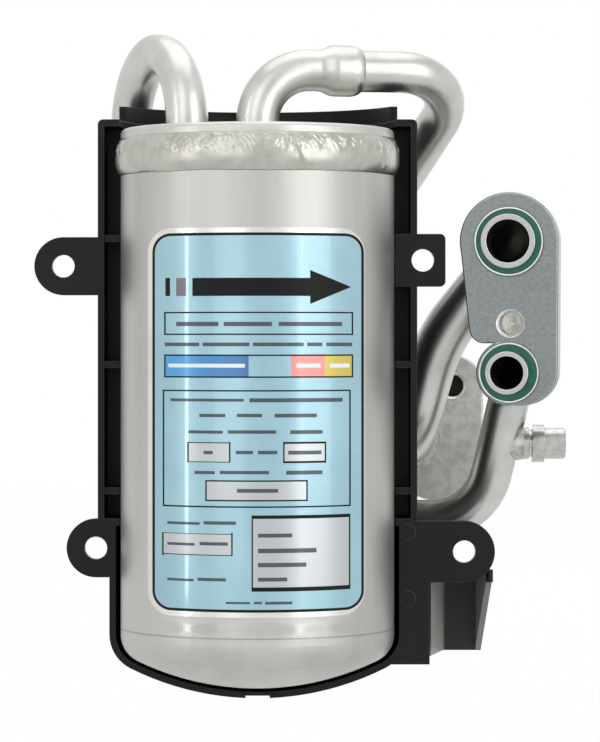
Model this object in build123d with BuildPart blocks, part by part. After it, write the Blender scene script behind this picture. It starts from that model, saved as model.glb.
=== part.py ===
"""Filter drier of a vehicle air conditioner, in its cradle bracket with its refrigerant lines.

Millimetres, +Z up, the front faces -Y.  The origin is the centre of the bracket's upper left
mounting hole, on the rear face of its tab.  Heights and distances of the pieces are given from
the receiver's foot: the lowest point of its dished bottom, on the receiver's axis.
"""

import os
from math import asin, cos, degrees, hypot, pi, radians, sin

from build123d import *

os.makedirs("parts", exist_ok=True)

# ---------------------------------------------------------------- clearances and small features
slip_gap = 0.05           # radial gap of a brazed or seated joint
seat_gap = 0.3            # gap beside loose inner pieces
edge_break = 0.5          # chamfer on machined edges

# ---------------------------------------------------------------- receiver
can_radius = 50.8
can_wall = 2.0
crown_radius = 101.6      # radius of the dished bottom
knuckle_radius = 10.0     # radius between the dished bottom and the wall
receiver_height = 207.0
cap_rise = 10.5           # height of the cap over its seam with the shell
seam_height = receiver_height - cap_rise
cap_thickness = 6.0
cap_edge_radius = 2.0
tube_seat_depth = 3.5     # how deep a tube sits in the cap
weld_bulge = 2.7
weld_width = 14.0

# ---------------------------------------------------------------- rating label
label_width_angle = 101.0
label_bottom = 30.0
label_height = 139.1
label_corner = 8.5
label_thickness = 0.2

# ---------------------------------------------------------------- cradle bracket
cradle_gap = 3.8          # receiver wall to cradle shell, leaves room for the weld bead
cradle_wall = 2.5
cradle_rise = 10.3        # height of the half-round shell over the receiver
cradle_top = receiver_height + cradle_rise
channel_depth = 24.5      # front rim to the back of the side channels
channel_width = 59.4      # half width over the outer side walls
channel_rise = 4.0        # height of the side channels over the receiver
channel_top = receiver_height + channel_rise
channel_corner = 2.0
side_wall = 2.4
rib_gap = 0.5             # receiver wall to the ribs that hold it
rib_thickness = 2.6
rib_setback = 1.5
rib_heights = (72.8, 119.8, 166.7)
shoe_top = 60.0           # the cradle is closer to the can below this height
shoe_gap = 1.9
shoe_wall = 2.4
drain_notch_width = 9.0
drain_notch_depth = 1.0
tab_thickness = 4.5
tab_hole_radius = 4.2
upper_left_hole = (-72.2, 156.4)
upper_left_tab_radius = 10.8
upper_right_hole = (61.5, 158.6)
upper_right_tab_reach = 8.4
upper_right_tab_half_height = 9.8
upper_right_tab_corner = 2.0
lower_left_hole = (-60.1, 51.6)
lower_left_tab_radius = 10.9
lower_right_hole = (76.9, 50.2)
lower_right_tab_radius = 11.4
apron_right = 64.0        # the flat plate below the lower right tab
apron_bottom = 8.3
moulding_mark_radius = 3.0
moulding_mark_inset = 4.5  # from the ribs' inner radius
moulding_mark_height = 0.4
moulding_mark_heights = (32.8, 57.6)
leg_depth = 28.0          # the box-shaped leg behind the lower right tab
leg_draft = 6.5
leg_width = 19.2
leg_top_gap = 2.6         # the leg stays this far below the screw hole
leg_bottom = 11.1
leg_wall = 2.2
leg_flare = 3.4
tab_access_radius = 7.0    # room for a bolt head behind the upper right tab

# ---------------------------------------------------------------- fixing of the receiver
stud_radius = 3.0
stud_length = 13.0
stud_heights = (96.0, 150.0)
nut_across_flats = 10.0
nut_height = 6.0
nut_flange_radius = 6.5
nut_flange_height = 1.2

# ---------------------------------------------------------------- refrigerant tubes
small_tube_radius = 7.94
large_tube_radius = 9.52
tube_wall = 1.3
route_gap = 3.0           # least distance of a tube from the cradle's back
inlet_offset = -26.2
outlet_offset = 0.0
arch_rise = 30.6          # centreline of the inlet tube's arch over the receiver
arch_height = receiver_height + arch_rise
rear_leg_angle = 133.6    # where the rear leg stands, seen from above
rear_leg_gap = 3.8        # further from the cradle than route_gap
union_height = 132.0      # hidden joint of the inlet and liquid tubes
socket_length = 16.0
socket_overlap = 8.0
socket_taper = 7.0
socket_wall = 1.8
socket_lip = 3.5          # length over which the socket's mouth closes in
socket_lip_drop = 0.8
braze_ring_width = 2.4
fillet_leg = 2.2
collar_leg = 3.4          # larger fillet of the suction tube at the rear block
braze_edge = 0.3          # thickness of a fillet where it thins out along its tube
outlet_rise = 22.8        # centreline of the outlet's level run over the receiver
outlet_height = receiver_height + outlet_rise
outlet_bend_radius = 20.0
outlet_turn = 14.0        # degrees behind the bracket's plane
outlet_socket_start = 22.6
outlet_knee_reach = 82.5
outlet_knee_radius = 22.0
outlet_shoulder = (50.5, 71.0, 184.0)
outlet_shoulder_radius = 24.0
outlet_drop_top = 150.0

# ---------------------------------------------------------------- front block
front_port = (93.5, 0.0, 165.6)
block_yaw = 8.0
block_thickness = 16.0
port_spacing = 48.8
suction_lobe_radius = 18.4
liquid_lobe_radius = 12.3
corner_lobe_radius = 13.5
corner_lobe = (4.6, -47.6)
waist_point = (-14.3, -37.9)
waist_end = (-5.0, -37.9)
waist_radius = 5.5
suction_pilot_radius = 10.05
suction_pilot_length = 6.0
suction_bore_radius = 8.05
liquid_pilot_radius = 7.9
liquid_pilot_length = 12.0
liquid_bore_radius = 6.2
tube_socket_depth = 8.0
spotface_depth = 0.6
spotface_margin = 0.35
tapped_hole_radius = 4.25
tapped_hole_depth = 13.0
tapped_hole_place = (0.5, -30.5)
tapped_hole_chamfer = 0.95
drill_point_depth = 2.4

# ---------------------------------------------------------------- seals
seal_thickness = 2.4
suction_seal_radius = 12.2
liquid_seal_radius = 10.6
seal_ring_width = 0.55
seal_undercut = 0.45      # groove in a pilot that keeps its seal on

# ---------------------------------------------------------------- rear block
rear_block_depth = 80.0
rear_block_thickness = 14.0
rear_suction_port = (58.4, 89.4)
rear_liquid_port = (29.0, 90.0)
rear_bolt_hole = (76.3, 110.8)
rear_bolt_lobe_radius = 12.2
rear_corner_lobe = (74.5, 77.0)
rear_corner_radius = 13.5
rear_pilot_length = 8.0
rear_stud_radius = 4.0
rear_stud_reach = 22.0
rear_stud_recess = 5.0
rear_stud_root_radius = 4.25

# ---------------------------------------------------------------- lines between the blocks
front_elbow_depth = 34.0
front_elbow_radius = 19.0
suction_knee = (69.2, 48.0, 128.9)
suction_knee_radius = 60.0
suction_drop_depth = 54.0
rear_elbow_radius = 20.0
liquid_run_height = 58.8
liquid_corner = (85.5, 50.0)
liquid_elbow_radius = 17.0
liquid_corner_radius = 26.0
liquid_back_extra = 6.0
liquid_back_radius = 60.0
liquid_up_radius = 22.0

# ---------------------------------------------------------------- service port
service_port_height = 89.4
service_port_reach = 25.4
service_neck_radius = 6.3
service_neck_end = 12.6
service_groove_depth = 0.9
service_groove_width = 1.2
service_collar_radius = 7.5
service_collar_width = 4.6
service_body_radius = 6.2
service_bore_radius = 4.3
service_bore_depth = 13.6
service_passage_radius = 2.5
saddle_height = 1.4       # braze round the port's neck, above the tube
saddle_spread = 0.12      # growth of its radius for each mm down
core_length = 9.0
core_recess = 2.2
core_cavity_radius = 2.7
core_cavity_length = 5.4
pin_radius = 0.8
pin_collar_radius = 2.2
pin_collar_width = 0.6
pin_head_radius = 2.0
pin_head_width = 1.0
pin_travel = 1.6
pin_running_gap = 0.06
core_spring_wire = 0.2
core_spring_turns = 4

# ---------------------------------------------------------------- inside the receiver
pickup_radius = 6.0
pickup_wall = 1.0
pickup_foot_gap = 8.0
support_skirt_foot = 17.6
support_height = 31.2
screen_thickness = 1.2
filter_pad_thickness = 6.0
bed_height = 112.8
bed_spring_wire_radius = 1.25
bed_spring_radius = 30.0
bed_spring_turns = 3
perforation_radius = 2.0
perforation_circles = (16.0, 25.0, 34.0, 42.0)
perforation_pitch = 9.0


# ================================================================ placing
axis_x = -upper_left_hole[0]
axis_y = -tab_thickness
foot_z = -upper_left_hole[1]
receiver_foot = Plane(origin=(axis_x, axis_y, foot_z))
receiver_axis = Axis(receiver_foot.origin, (0, 0, 1))


def level(height):
    """Level plane at a height above the receiver's foot."""
    return receiver_foot.offset(height)


def facing_front(depth):
    """Upright plane that faces the front, at a distance behind the receiver's axis."""
    return Plane(origin=receiver_foot.from_local_coords((0, depth, 0)), x_dir=(1, 0, 0), z_dir=(0, -1, 0))


def save(piece, name):
    """Label a finished piece and write it as parts/name.step."""
    piece.part.label = name
    export_step(piece.part, f"parts/{name}.step")


def dished_outline(growth, top):
    """Closed half outline of the dished receiver, grown outward by growth, up to a height."""
    knuckle_centre = can_radius - knuckle_radius
    swing = asin(knuckle_centre / (crown_radius - knuckle_radius))
    knuckle_height = crown_radius - (crown_radius - knuckle_radius) * cos(swing)
    crown = CenterArc((0, crown_radius), crown_radius + growth, -90, degrees(swing))
    knuckle = CenterArc((knuckle_centre, knuckle_height), knuckle_radius + growth,
                        degrees(swing) - 90, 90 - degrees(swing))
    Polyline(knuckle @ 1, (can_radius + growth, top), (0, top), crown @ 0)


# ================================================================ receiver
with BuildPart() as receiver_shell:
    with BuildSketch(facing_front(0)) as shell_outside:
        with BuildLine():
            dished_outline(0, seam_height)
        make_face()
    revolve(axis=receiver_axis)
    with BuildSketch(facing_front(0)) as shell_inside:
        with BuildLine():
            dished_outline(-can_wall, seam_height)
        make_face()
    revolve(axis=receiver_axis, mode=Mode.SUBTRACT)
save(receiver_shell, "receiver_shell")

cap_underside = receiver_height - cap_thickness
with BuildPart() as receiver_cap:
    with BuildSketch(level(seam_height)):
        Circle(can_radius)
    extrude(amount=receiver_height - seam_height)
    fillet(receiver_cap.faces().sort_by(Axis.Z)[-1].edges(), radius=cap_edge_radius)
    with BuildSketch(level(seam_height)):
        Circle(can_radius - can_wall)
    extrude(amount=cap_underside - seam_height, mode=Mode.SUBTRACT)
    with BuildSketch(level(receiver_height)):
        with Locations((inlet_offset, 0), (outlet_offset, 0)):
            Circle(small_tube_radius + slip_gap)
    extrude(amount=-tube_seat_depth, mode=Mode.SUBTRACT)
    with BuildSketch(level(receiver_height)):
        with Locations((inlet_offset, 0), (outlet_offset, 0)):
            Circle(pickup_radius + slip_gap)
    extrude(amount=-cap_thickness, mode=Mode.SUBTRACT)
save(receiver_cap, "receiver_cap")

with BuildPart() as cap_weld_bead:
    with BuildSketch(facing_front(0)):
        with BuildLine():
            bead_low = (can_radius, seam_height - weld_width / 2)
            bead_high = (can_radius, seam_height + weld_width / 2)
            bead_back = Line(bead_low, bead_high)
            ThreePointArc(bead_high, (can_radius + weld_bulge, seam_height), bead_low)
        make_face()
    revolve(axis=receiver_axis)
save(cap_weld_bead, "cap_weld_bead")

label_half_width = can_radius * sin(radians(label_width_angle / 2))
with BuildPart() as rating_label:
    with BuildSketch(level(label_bottom)):
        Circle(can_radius + slip_gap + label_thickness)
        Circle(can_radius + slip_gap, mode=Mode.SUBTRACT)
    extrude(amount=label_height)
    with BuildSketch(facing_front(0)):
        with Locations((0, label_bottom + label_height / 2)):
            RectangleRounded(2 * label_half_width, label_height, label_corner)
    extrude(amount=2 * can_radius, mode=Mode.INTERSECT)
save(rating_label, "rating_label")

# ================================================================ cradle bracket
rib_radius = can_radius + rib_gap
cradle_inner = can_radius + cradle_gap
cradle_outer = cradle_inner + cradle_wall
channel_inside = channel_width - side_wall
channel_floor = channel_depth - side_wall
shoe_inner = can_radius + shoe_gap
shoe_outer = shoe_inner + shoe_wall
behind_front = 2 * channel_width


def behind(start):
    """Keep the part of a level sketch that lies behind a distance from the receiver's axis."""
    with Locations((0, start + behind_front / 2)):
        Rectangle(4 * channel_width, behind_front, mode=Mode.INTERSECT)


def rib_outline(front, reach):
    """Level outline from the ribs' inner radius out to the cradle and to a half width."""
    Circle(cradle_outer - cradle_wall / 2)
    with Locations((0, channel_depth / 2)):
        Rectangle(2 * reach, channel_depth)
    Circle(rib_radius, mode=Mode.SUBTRACT)
    behind(front)


with BuildPart() as cradle_bracket:
    # half-round shell behind the receiver
    with BuildSketch(level(shoe_top)):
        Circle(cradle_outer)
        Circle(cradle_inner, mode=Mode.SUBTRACT)
        behind(channel_floor)
    extrude(amount=cradle_top - shoe_top)
    # side channels, open to the front
    with BuildSketch(level(shoe_top)):
        with Locations((0, channel_depth / 2)):
            Rectangle(2 * channel_width, channel_depth)
            Rectangle(2 * channel_inside, channel_depth, mode=Mode.SUBTRACT)
        with Locations((0, channel_floor + side_wall / 2)):
            Rectangle(2 * channel_width, side_wall)
        Circle(cradle_inner, mode=Mode.SUBTRACT)
    extrude(amount=channel_top - shoe_top)
    # ribs that cup the receiver
    for rib_height in rib_heights:
        with BuildSketch(level(rib_height - rib_thickness / 2)):
            rib_outline(rib_setback, channel_inside + side_wall / 2)
        extrude(amount=rib_thickness)
    # top and bottom of the channels
    for plate_height in (channel_top - rib_thickness, shoe_top):
        with BuildSketch(level(plate_height)):
            rib_outline(0, channel_width)
        extrude(amount=rib_thickness)
    for outer_side in (0, -1):
        side_edges = edges().filter_by(Axis.Y).group_by(Axis.X)[outer_side]
        fillet(side_edges.sort_by(Axis.Z)[-1], radius=channel_corner)
    # shoe round the dished bottom
    with BuildSketch(facing_front(0)):
        with BuildLine():
            dished_outline(shoe_gap + shoe_wall, shoe_top + rib_thickness)
        make_face()
        with BuildLine():
            dished_outline(shoe_gap, shoe_top + rib_thickness)
        make_face(mode=Mode.SUBTRACT)
    revolve(axis=receiver_axis, revolution_arc=180)
    # mounting tabs in the plane of the front rim
    with BuildSketch(facing_front(0)):
        with Locations(upper_left_hole):
            Circle(upper_left_tab_radius)
        upper_left_root = -channel_width + side_wall / 2 - upper_left_hole[0]
        with Locations((upper_left_hole[0] + upper_left_root / 2, upper_left_hole[1])):
            Rectangle(upper_left_root, 2 * upper_left_tab_radius)
        with Locations(lower_left_hole):
            Circle(lower_left_tab_radius)
        lower_left_root = -rib_radius - lower_left_hole[0]
        with Locations((lower_left_hole[0] + lower_left_root / 2, lower_left_hole[1])):
            Rectangle(lower_left_root, 2 * lower_left_tab_radius)
        with Locations(lower_right_hole):
            Circle(lower_right_tab_radius)
        lower_right_root = lower_right_hole[0] - rib_radius
        with Locations((lower_right_hole[0] - lower_right_root / 2, lower_right_hole[1])):
            Rectangle(lower_right_root, 2 * lower_right_tab_radius)
        apron_top = lower_right_hole[1]
        with Locations(((apron_right + rib_radius) / 2, (apron_bottom + apron_top) / 2)):
            Rectangle(apron_right - rib_radius, apron_top - apron_bottom)
    extrude(amount=-tab_thickness)
    with BuildSketch(facing_front(0)):
        square_tab_right = upper_right_hole[0] + upper_right_tab_reach
        with Locations(((rib_radius + square_tab_right) / 2, upper_right_hole[1])):
            Rectangle(square_tab_right - rib_radius, 2 * upper_right_tab_half_height)
        fillet(vertices().group_by(Axis.X)[-1], radius=upper_right_tab_corner)
    extrude(amount=-tab_thickness)
    # foot of the apron runs in to the shoe, and nothing below the shoe's top comes nearer than it
    with BuildSketch(facing_front(0)):
        with Locations(((apron_right + rib_radius - knuckle_radius) / 2, apron_bottom + shoe_wall / 2)):
            Rectangle(apron_right - rib_radius + knuckle_radius, shoe_wall)
    extrude(amount=-tab_thickness)
    with BuildSketch(facing_front(0)):
        with BuildLine():
            dished_outline(shoe_gap, shoe_top)
        make_face()
    revolve(axis=receiver_axis, mode=Mode.SUBTRACT)
    # box-shaped leg behind the lower right tab
    leg_left = apron_right + leg_draft
    leg_right = leg_left + leg_width - leg_draft
    gusset_top = lower_right_hole[1] - lower_right_tab_radius
    with BuildSketch(level(leg_bottom)):
        with BuildLine():
            leg_line = Polyline((apron_right - leg_wall / 2, tab_thickness / 2),
                                (leg_left - leg_wall / 2, leg_depth), (leg_right, leg_depth),
                                (leg_right + leg_flare, tab_thickness / 2))
            offset(leg_line, amount=leg_wall / 2, side=Side.BOTH)
        make_face()
    leg_top = lower_right_hole[1] - tab_hole_radius - leg_top_gap
    extrude(amount=leg_top - leg_bottom)
    leg_side = Plane(origin=receiver_foot.from_local_coords((leg_right - leg_wall, 0, 0)),
                     x_dir=(0, 1, 0), z_dir=(1, 0, 0))
    with BuildSketch(leg_side):
        with BuildLine():
            Polyline((tab_thickness, gusset_top), (0, gusset_top), (0, leg_bottom),
                     (leg_depth - leg_wall / 2, leg_bottom), (tab_thickness, gusset_top))
        make_face()
    extrude(amount=2 * (leg_flare + leg_wall), mode=Mode.SUBTRACT)
    # drain notch, moulding marks and holes
    with BuildSketch(facing_front(0)):
        with Locations((0, -shoe_gap - shoe_wall)):
            Rectangle(drain_notch_width, 2 * drain_notch_depth)
    extrude(amount=-can_radius / 2, mode=Mode.SUBTRACT)
    with BuildSketch(facing_front(0)):
        mark_offset = rib_radius + moulding_mark_inset
        with Locations(*[(mark_offset, height) for height in moulding_mark_heights]):
            Circle(moulding_mark_radius)
    extrude(amount=moulding_mark_height)
    with BuildSketch(facing_front(0)):
        with Locations(upper_left_hole, upper_right_hole, lower_left_hole, lower_right_hole):
            Circle(tab_hole_radius)
    extrude(amount=-tab_thickness, mode=Mode.SUBTRACT)
    with BuildSketch(facing_front(tab_thickness)):
        with Locations(upper_right_hole):
            Circle(tab_access_radius)
    extrude(amount=-channel_depth, mode=Mode.SUBTRACT)
    with BuildSketch(facing_front(0)):
        with Locations(*[(0, height) for height in stud_heights]):
            Circle(stud_radius + seat_gap)
    extrude(amount=-2 * cradle_outer, mode=Mode.SUBTRACT)
save(cradle_bracket, "cradle_bracket")

# ================================================================ fixing of the receiver
with BuildPart() as receiver_studs:
    with BuildSketch(facing_front(can_radius)):
        with Locations(*[(0, height) for height in stud_heights]):
            Circle(stud_radius)
    extrude(amount=-stud_length)
save(receiver_studs, "receiver_studs")

with BuildPart() as receiver_nuts:
    for stud_height in stud_heights:
        with BuildSketch(facing_front(cradle_outer)):
            with Locations((0, stud_height)):
                Circle(nut_flange_radius)
                Circle(stud_radius + slip_gap, mode=Mode.SUBTRACT)
        extrude(amount=-nut_flange_height)
        with BuildSketch(facing_front(cradle_outer + nut_flange_height)):
            with Locations((0, stud_height)):
                RegularPolygon(nut_across_flats / 2, 6, major_radius=False)
                Circle(stud_radius + slip_gap, mode=Mode.SUBTRACT)
        extrude(amount=-(nut_height - nut_flange_height))
save(receiver_nuts, "receiver_nuts")


# ================================================================ refrigerant tubes
def run_tube(points, bend_radii, outer_radius):
    """Add a bent tube along points given from the receiver's foot."""
    with BuildLine(receiver_foot) as route:
        FilletPolyline(*points, radius=bend_radii)
    start = Plane(origin=route.line @ 0, z_dir=route.line % 0)
    with BuildSketch(start) as section:
        Circle(outer_radius)
        Circle(outer_radius - tube_wall, mode=Mode.SUBTRACT)
    sweep(sections=section.sketch, path=route.line)


def flared_socket(start, direction):
    """Add a socket that swells from a small tube's end and takes the next tube."""
    along = Vector(*direction).normalized()
    across = Vector(0, 0, 1) if abs(along.Z) < 0.5 else Vector(1, 0, 0)
    origin = receiver_foot.from_local_coords(start)
    socket_inner = small_tube_radius + slip_gap
    socket_outer = socket_inner + socket_wall
    with BuildSketch(Plane(origin=origin, x_dir=along, z_dir=along.cross(across))) as profile:
        with BuildLine():
            outside = Spline((0, small_tube_radius), (socket_taper, socket_outer),
                             tangents=((1, 0), (1, 0)))
            lip_start = (socket_length - socket_lip, socket_outer)
            lip_end = (socket_length, socket_outer - socket_lip_drop)
            Line(outside @ 1, lip_start)
            Spline(lip_start, lip_end, tangents=((1, 0), (1, -0.5)))
            Polyline(lip_end, (socket_length, socket_inner),
                     (socket_taper, socket_inner), (0, small_tube_radius - tube_wall), outside @ 0)
        make_face()
    revolve(profiles=profile.sketch, axis=Axis(origin, along))


def braze_ring(place, tube_radius, leg, name):
    """Fillet of braze round a tube where it leaves the face of a plane."""
    with BuildPart(place) as ring:
        lift = (Align.CENTER, Align.CENTER, Align.MIN)
        Cone(bottom_radius=tube_radius + leg, top_radius=tube_radius + braze_edge, height=leg, align=lift)
        Cylinder(radius=tube_radius, height=leg, align=lift, mode=Mode.SUBTRACT)
    save(ring, name)


# inlet tube: up from the cap, over in an arch and down behind the cradle
tube_clear = cradle_outer + small_tube_radius + route_gap
tube_foot = receiver_height - tube_seat_depth
leg_reach = tube_clear + rear_leg_gap
leg_x = leg_reach * cos(radians(rear_leg_angle))
leg_y = leg_reach * sin(radians(rear_leg_angle))
arch_radius = hypot(leg_x - inlet_offset, leg_y) / 2 - slip_gap
with BuildPart() as inlet_tube:
    run_tube([(inlet_offset, 0, tube_foot), (inlet_offset, 0, arch_height), (leg_x, leg_y, arch_height),
              (leg_x, leg_y, union_height - socket_overlap)], [arch_radius, arch_radius],
             small_tube_radius)
save(inlet_tube, "inlet_tube")

# outlet stub: up from the cap and over to the right, with a flared socket
turn_x = cos(radians(outlet_turn))
turn_y = sin(radians(outlet_turn))


def along_outlet(distance):
    """Point on the outlet's level run, at a distance from the outlet's upright."""
    return (outlet_offset + distance * turn_x, distance * turn_y, outlet_height)


with BuildPart() as outlet_stub_tube:
    run_tube([(outlet_offset, 0, tube_foot), (outlet_offset, 0, outlet_height),
              along_outlet(outlet_socket_start)], [outlet_bend_radius], small_tube_radius)
    flared_socket(along_outlet(outlet_socket_start), (turn_x, turn_y, 0))
save(outlet_stub_tube, "outlet_stub_tube")

# outlet tube: from the socket over and down behind the cradle into the rear block
drop_x = rear_liquid_port[0]
drop_y = (tube_clear ** 2 - drop_x ** 2) ** 0.5
outlet_foot_radius = rear_block_depth - drop_y - fillet_leg - slip_gap
socket_end = outlet_socket_start + socket_length
with BuildPart() as outlet_tube:
    run_tube([along_outlet(socket_end - socket_overlap), along_outlet(outlet_knee_reach),
              outlet_shoulder, (drop_x, drop_y, outlet_drop_top), (drop_x, drop_y, rear_liquid_port[1]),
              (drop_x, rear_block_depth + tube_socket_depth, rear_liquid_port[1])],
             [outlet_knee_radius, outlet_shoulder_radius, outlet_shoulder_radius, outlet_foot_radius],
             small_tube_radius)
save(outlet_tube, "outlet_tube")

# suction tube: out of the front block's upper port and down into the rear block
front_x, front_y, front_z = front_port
back_x = sin(radians(block_yaw))
back_y = cos(radians(block_yaw))


def behind_port(distance, drop):
    """Point behind the front block's upper port, or its lower one with the ports' spacing as drop."""
    return (front_x + distance * back_x, front_y + distance * back_y, front_z - drop)


tube_start = block_thickness - tube_socket_depth
with BuildPart() as suction_tube:
    run_tube([behind_port(tube_start, 0), behind_port(front_elbow_depth, 0), suction_knee,
              (rear_suction_port[0], suction_drop_depth, rear_suction_port[1]),
              (rear_suction_port[0], rear_block_depth + tube_socket_depth, rear_suction_port[1])],
             [front_elbow_radius, suction_knee_radius, rear_elbow_radius], large_tube_radius)
save(suction_tube, "suction_tube")

# liquid tube: out of the lower port, down, and round behind the cradle to the inlet tube
liquid_elbow = behind_port(front_elbow_depth, port_spacing)
liquid_low = (liquid_corner[0], liquid_corner[1], liquid_run_height)
port_share = (liquid_elbow[2] - service_port_height) / (liquid_elbow[2] - liquid_run_height)
port_point = tuple(high + port_share * (low - high) for high, low in zip(liquid_elbow, liquid_low))
port_origin = receiver_foot.from_local_coords(port_point)
port_face = Plane(origin=port_origin, x_dir=(0, 1, 0), z_dir=(1, 0, 0))
liquid_drop = Vector(*liquid_low) - Vector(*liquid_elbow)
with BuildPart() as liquid_tube:
    run_tube([behind_port(tube_start, port_spacing), liquid_elbow, liquid_low,
              (0, tube_clear + liquid_back_extra, liquid_run_height), (leg_x, leg_y, liquid_run_height),
              (leg_x, leg_y, union_height - socket_length)],
             [liquid_elbow_radius, liquid_corner_radius, liquid_back_radius, liquid_up_radius],
             small_tube_radius)
    flared_socket((leg_x, leg_y, union_height - socket_length), (0, 0, 1))
    with BuildSketch(port_face):
        Circle(service_passage_radius)
    extrude(amount=service_neck_end, mode=Mode.SUBTRACT)
save(liquid_tube, "liquid_tube")

# ================================================================ front block
front_face = Plane(origin=receiver_foot.from_local_coords(front_port),
                   x_dir=(back_y, -back_x, 0), z_dir=(-back_x, -back_y, 0))
with BuildPart() as front_block:
    with BuildSketch(front_face):
        Circle(suction_lobe_radius)
        with Locations((0, -port_spacing)):
            Circle(liquid_lobe_radius)
        with Locations(corner_lobe):
            Circle(corner_lobe_radius)
        with BuildLine():
            Polyline((-suction_lobe_radius, 0), waist_point, waist_end, (0, -port_spacing), corner_lobe,
                     (corner_lobe[0] + corner_lobe_radius, corner_lobe[1]), (suction_lobe_radius, 0),
                     (-suction_lobe_radius, 0))
        make_face()
        fillet(vertices().sort_by_distance(waist_point)[0], radius=waist_radius)
    extrude(amount=-block_thickness)
    chamfer(front_block.faces().sort_by(Axis(front_face.origin, front_face.z_dir))[-1].edges(),
            length=edge_break)
    for drop, seal_radius, pilot_radius, pilot_length, bore_radius, tube_radius in (
        (0, suction_seal_radius, suction_pilot_radius, suction_pilot_length, suction_bore_radius,
         large_tube_radius),
        (port_spacing, liquid_seal_radius, liquid_pilot_radius, liquid_pilot_length,
         liquid_bore_radius, small_tube_radius),
    ):
        with BuildSketch(front_face):
            with Locations((0, -drop)):
                Circle(seal_radius + seal_ring_width + spotface_margin)
        extrude(amount=-spotface_depth, mode=Mode.SUBTRACT)
        with BuildSketch(front_face.offset(-spotface_depth)):
            with Locations((0, -drop)):
                Circle(pilot_radius - seal_undercut)
        extrude(amount=pilot_length)
        with BuildSketch(front_face.offset(seal_thickness - spotface_depth)):
            with Locations((0, -drop)):
                Circle(pilot_radius)
        extrude(amount=pilot_length + spotface_depth - seal_thickness)
        with BuildSketch(front_face.offset(pilot_length)):
            with Locations((0, -drop)):
                Circle(bore_radius)
        extrude(amount=-pilot_length - block_thickness, mode=Mode.SUBTRACT)
        with BuildSketch(front_face.offset(-block_thickness)):
            with Locations((0, -drop)):
                Circle(tube_radius + slip_gap)
        extrude(amount=tube_socket_depth, mode=Mode.SUBTRACT)
    with BuildSketch(front_face):
        with Locations(tapped_hole_place):
            Circle(tapped_hole_radius)
    extrude(amount=-tapped_hole_depth, mode=Mode.SUBTRACT)
    with Locations(front_face * Location((*tapped_hole_place, -tapped_hole_depth))):
        Cone(bottom_radius=0.01, top_radius=tapped_hole_radius, height=drill_point_depth,
             align=(Align.CENTER, Align.CENTER, Align.MAX), mode=Mode.SUBTRACT)
    with Locations(front_face * Location(tapped_hole_place)):
        Cone(bottom_radius=tapped_hole_radius, top_radius=tapped_hole_radius + tapped_hole_chamfer,
             height=tapped_hole_chamfer, align=(Align.CENTER, Align.CENTER, Align.MAX),
             mode=Mode.SUBTRACT)
save(front_block, "front_block")

# ================================================================ rear block
with BuildPart() as rear_block:
    with BuildSketch(facing_front(rear_block_depth)) as rear_outline:
        with Locations(rear_bolt_hole):
            Circle(rear_bolt_lobe_radius)
        with Locations(rear_corner_lobe):
            Circle(rear_corner_radius)
        with Locations(rear_suction_port):
            Circle(suction_lobe_radius)
        with Locations(rear_liquid_port):
            Circle(liquid_lobe_radius)
        make_hull()
    extrude(amount=-rear_block_thickness)
    chamfer(rear_block.faces().sort_by(Axis.Y)[0].edges(), length=edge_break)
    rear_face_depth = rear_block_depth + rear_block_thickness
    for port, seal_radius, pilot_radius, bore_radius, tube_radius in (
        (rear_suction_port, suction_seal_radius, suction_pilot_radius, suction_bore_radius,
         large_tube_radius),
        (rear_liquid_port, liquid_seal_radius, liquid_pilot_radius, liquid_bore_radius,
         small_tube_radius),
    ):
        with BuildSketch(facing_front(rear_face_depth)):
            with Locations(port):
                Circle(seal_radius + seal_ring_width + spotface_margin)
        extrude(amount=spotface_depth, mode=Mode.SUBTRACT)
        with BuildSketch(facing_front(rear_face_depth - spotface_depth)):
            with Locations(port):
                Circle(pilot_radius - seal_undercut)
        extrude(amount=-rear_pilot_length)
        with BuildSketch(facing_front(rear_face_depth - spotface_depth + seal_thickness)):
            with Locations(port):
                Circle(pilot_radius)
        extrude(amount=-(rear_pilot_length + spotface_depth - seal_thickness))
        with BuildSketch(facing_front(rear_block_depth)):
            with Locations(port):
                Circle(bore_radius)
        extrude(amount=-(rear_block_thickness + rear_pilot_length), mode=Mode.SUBTRACT)
        with BuildSketch(facing_front(rear_block_depth)):
            with Locations(port):
                Circle(tube_radius + slip_gap)
        extrude(amount=-tube_socket_depth, mode=Mode.SUBTRACT)
    with BuildSketch(facing_front(rear_block_depth)):
        with Locations(rear_bolt_hole):
            Circle(rear_stud_root_radius + slip_gap)
    extrude(amount=-rear_block_thickness, mode=Mode.SUBTRACT)
    with Locations(facing_front(rear_block_depth) * Location(rear_bolt_hole)):
        Cone(bottom_radius=rear_stud_root_radius, top_radius=rear_stud_root_radius + tapped_hole_chamfer,
             height=tapped_hole_chamfer, align=(Align.CENTER, Align.CENTER, Align.MAX),
             mode=Mode.SUBTRACT)
save(rear_block, "rear_block")

with BuildPart() as rear_block_stud:
    with BuildSketch(facing_front(rear_block_depth + rear_stud_recess)):
        with Locations(rear_bolt_hole):
            Circle(rear_stud_root_radius)
    extrude(amount=-(rear_block_thickness - rear_stud_recess))
    with BuildSketch(facing_front(rear_block_depth + rear_block_thickness)):
        with Locations(rear_bolt_hole):
            Circle(rear_stud_radius)
    extrude(amount=-rear_stud_reach)
    chamfer(rear_block_stud.edges().filter_by(GeomType.CIRCLE).group_by(Axis.Y)[-1], length=edge_break)
save(rear_block_stud, "rear_block_stud")


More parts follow.
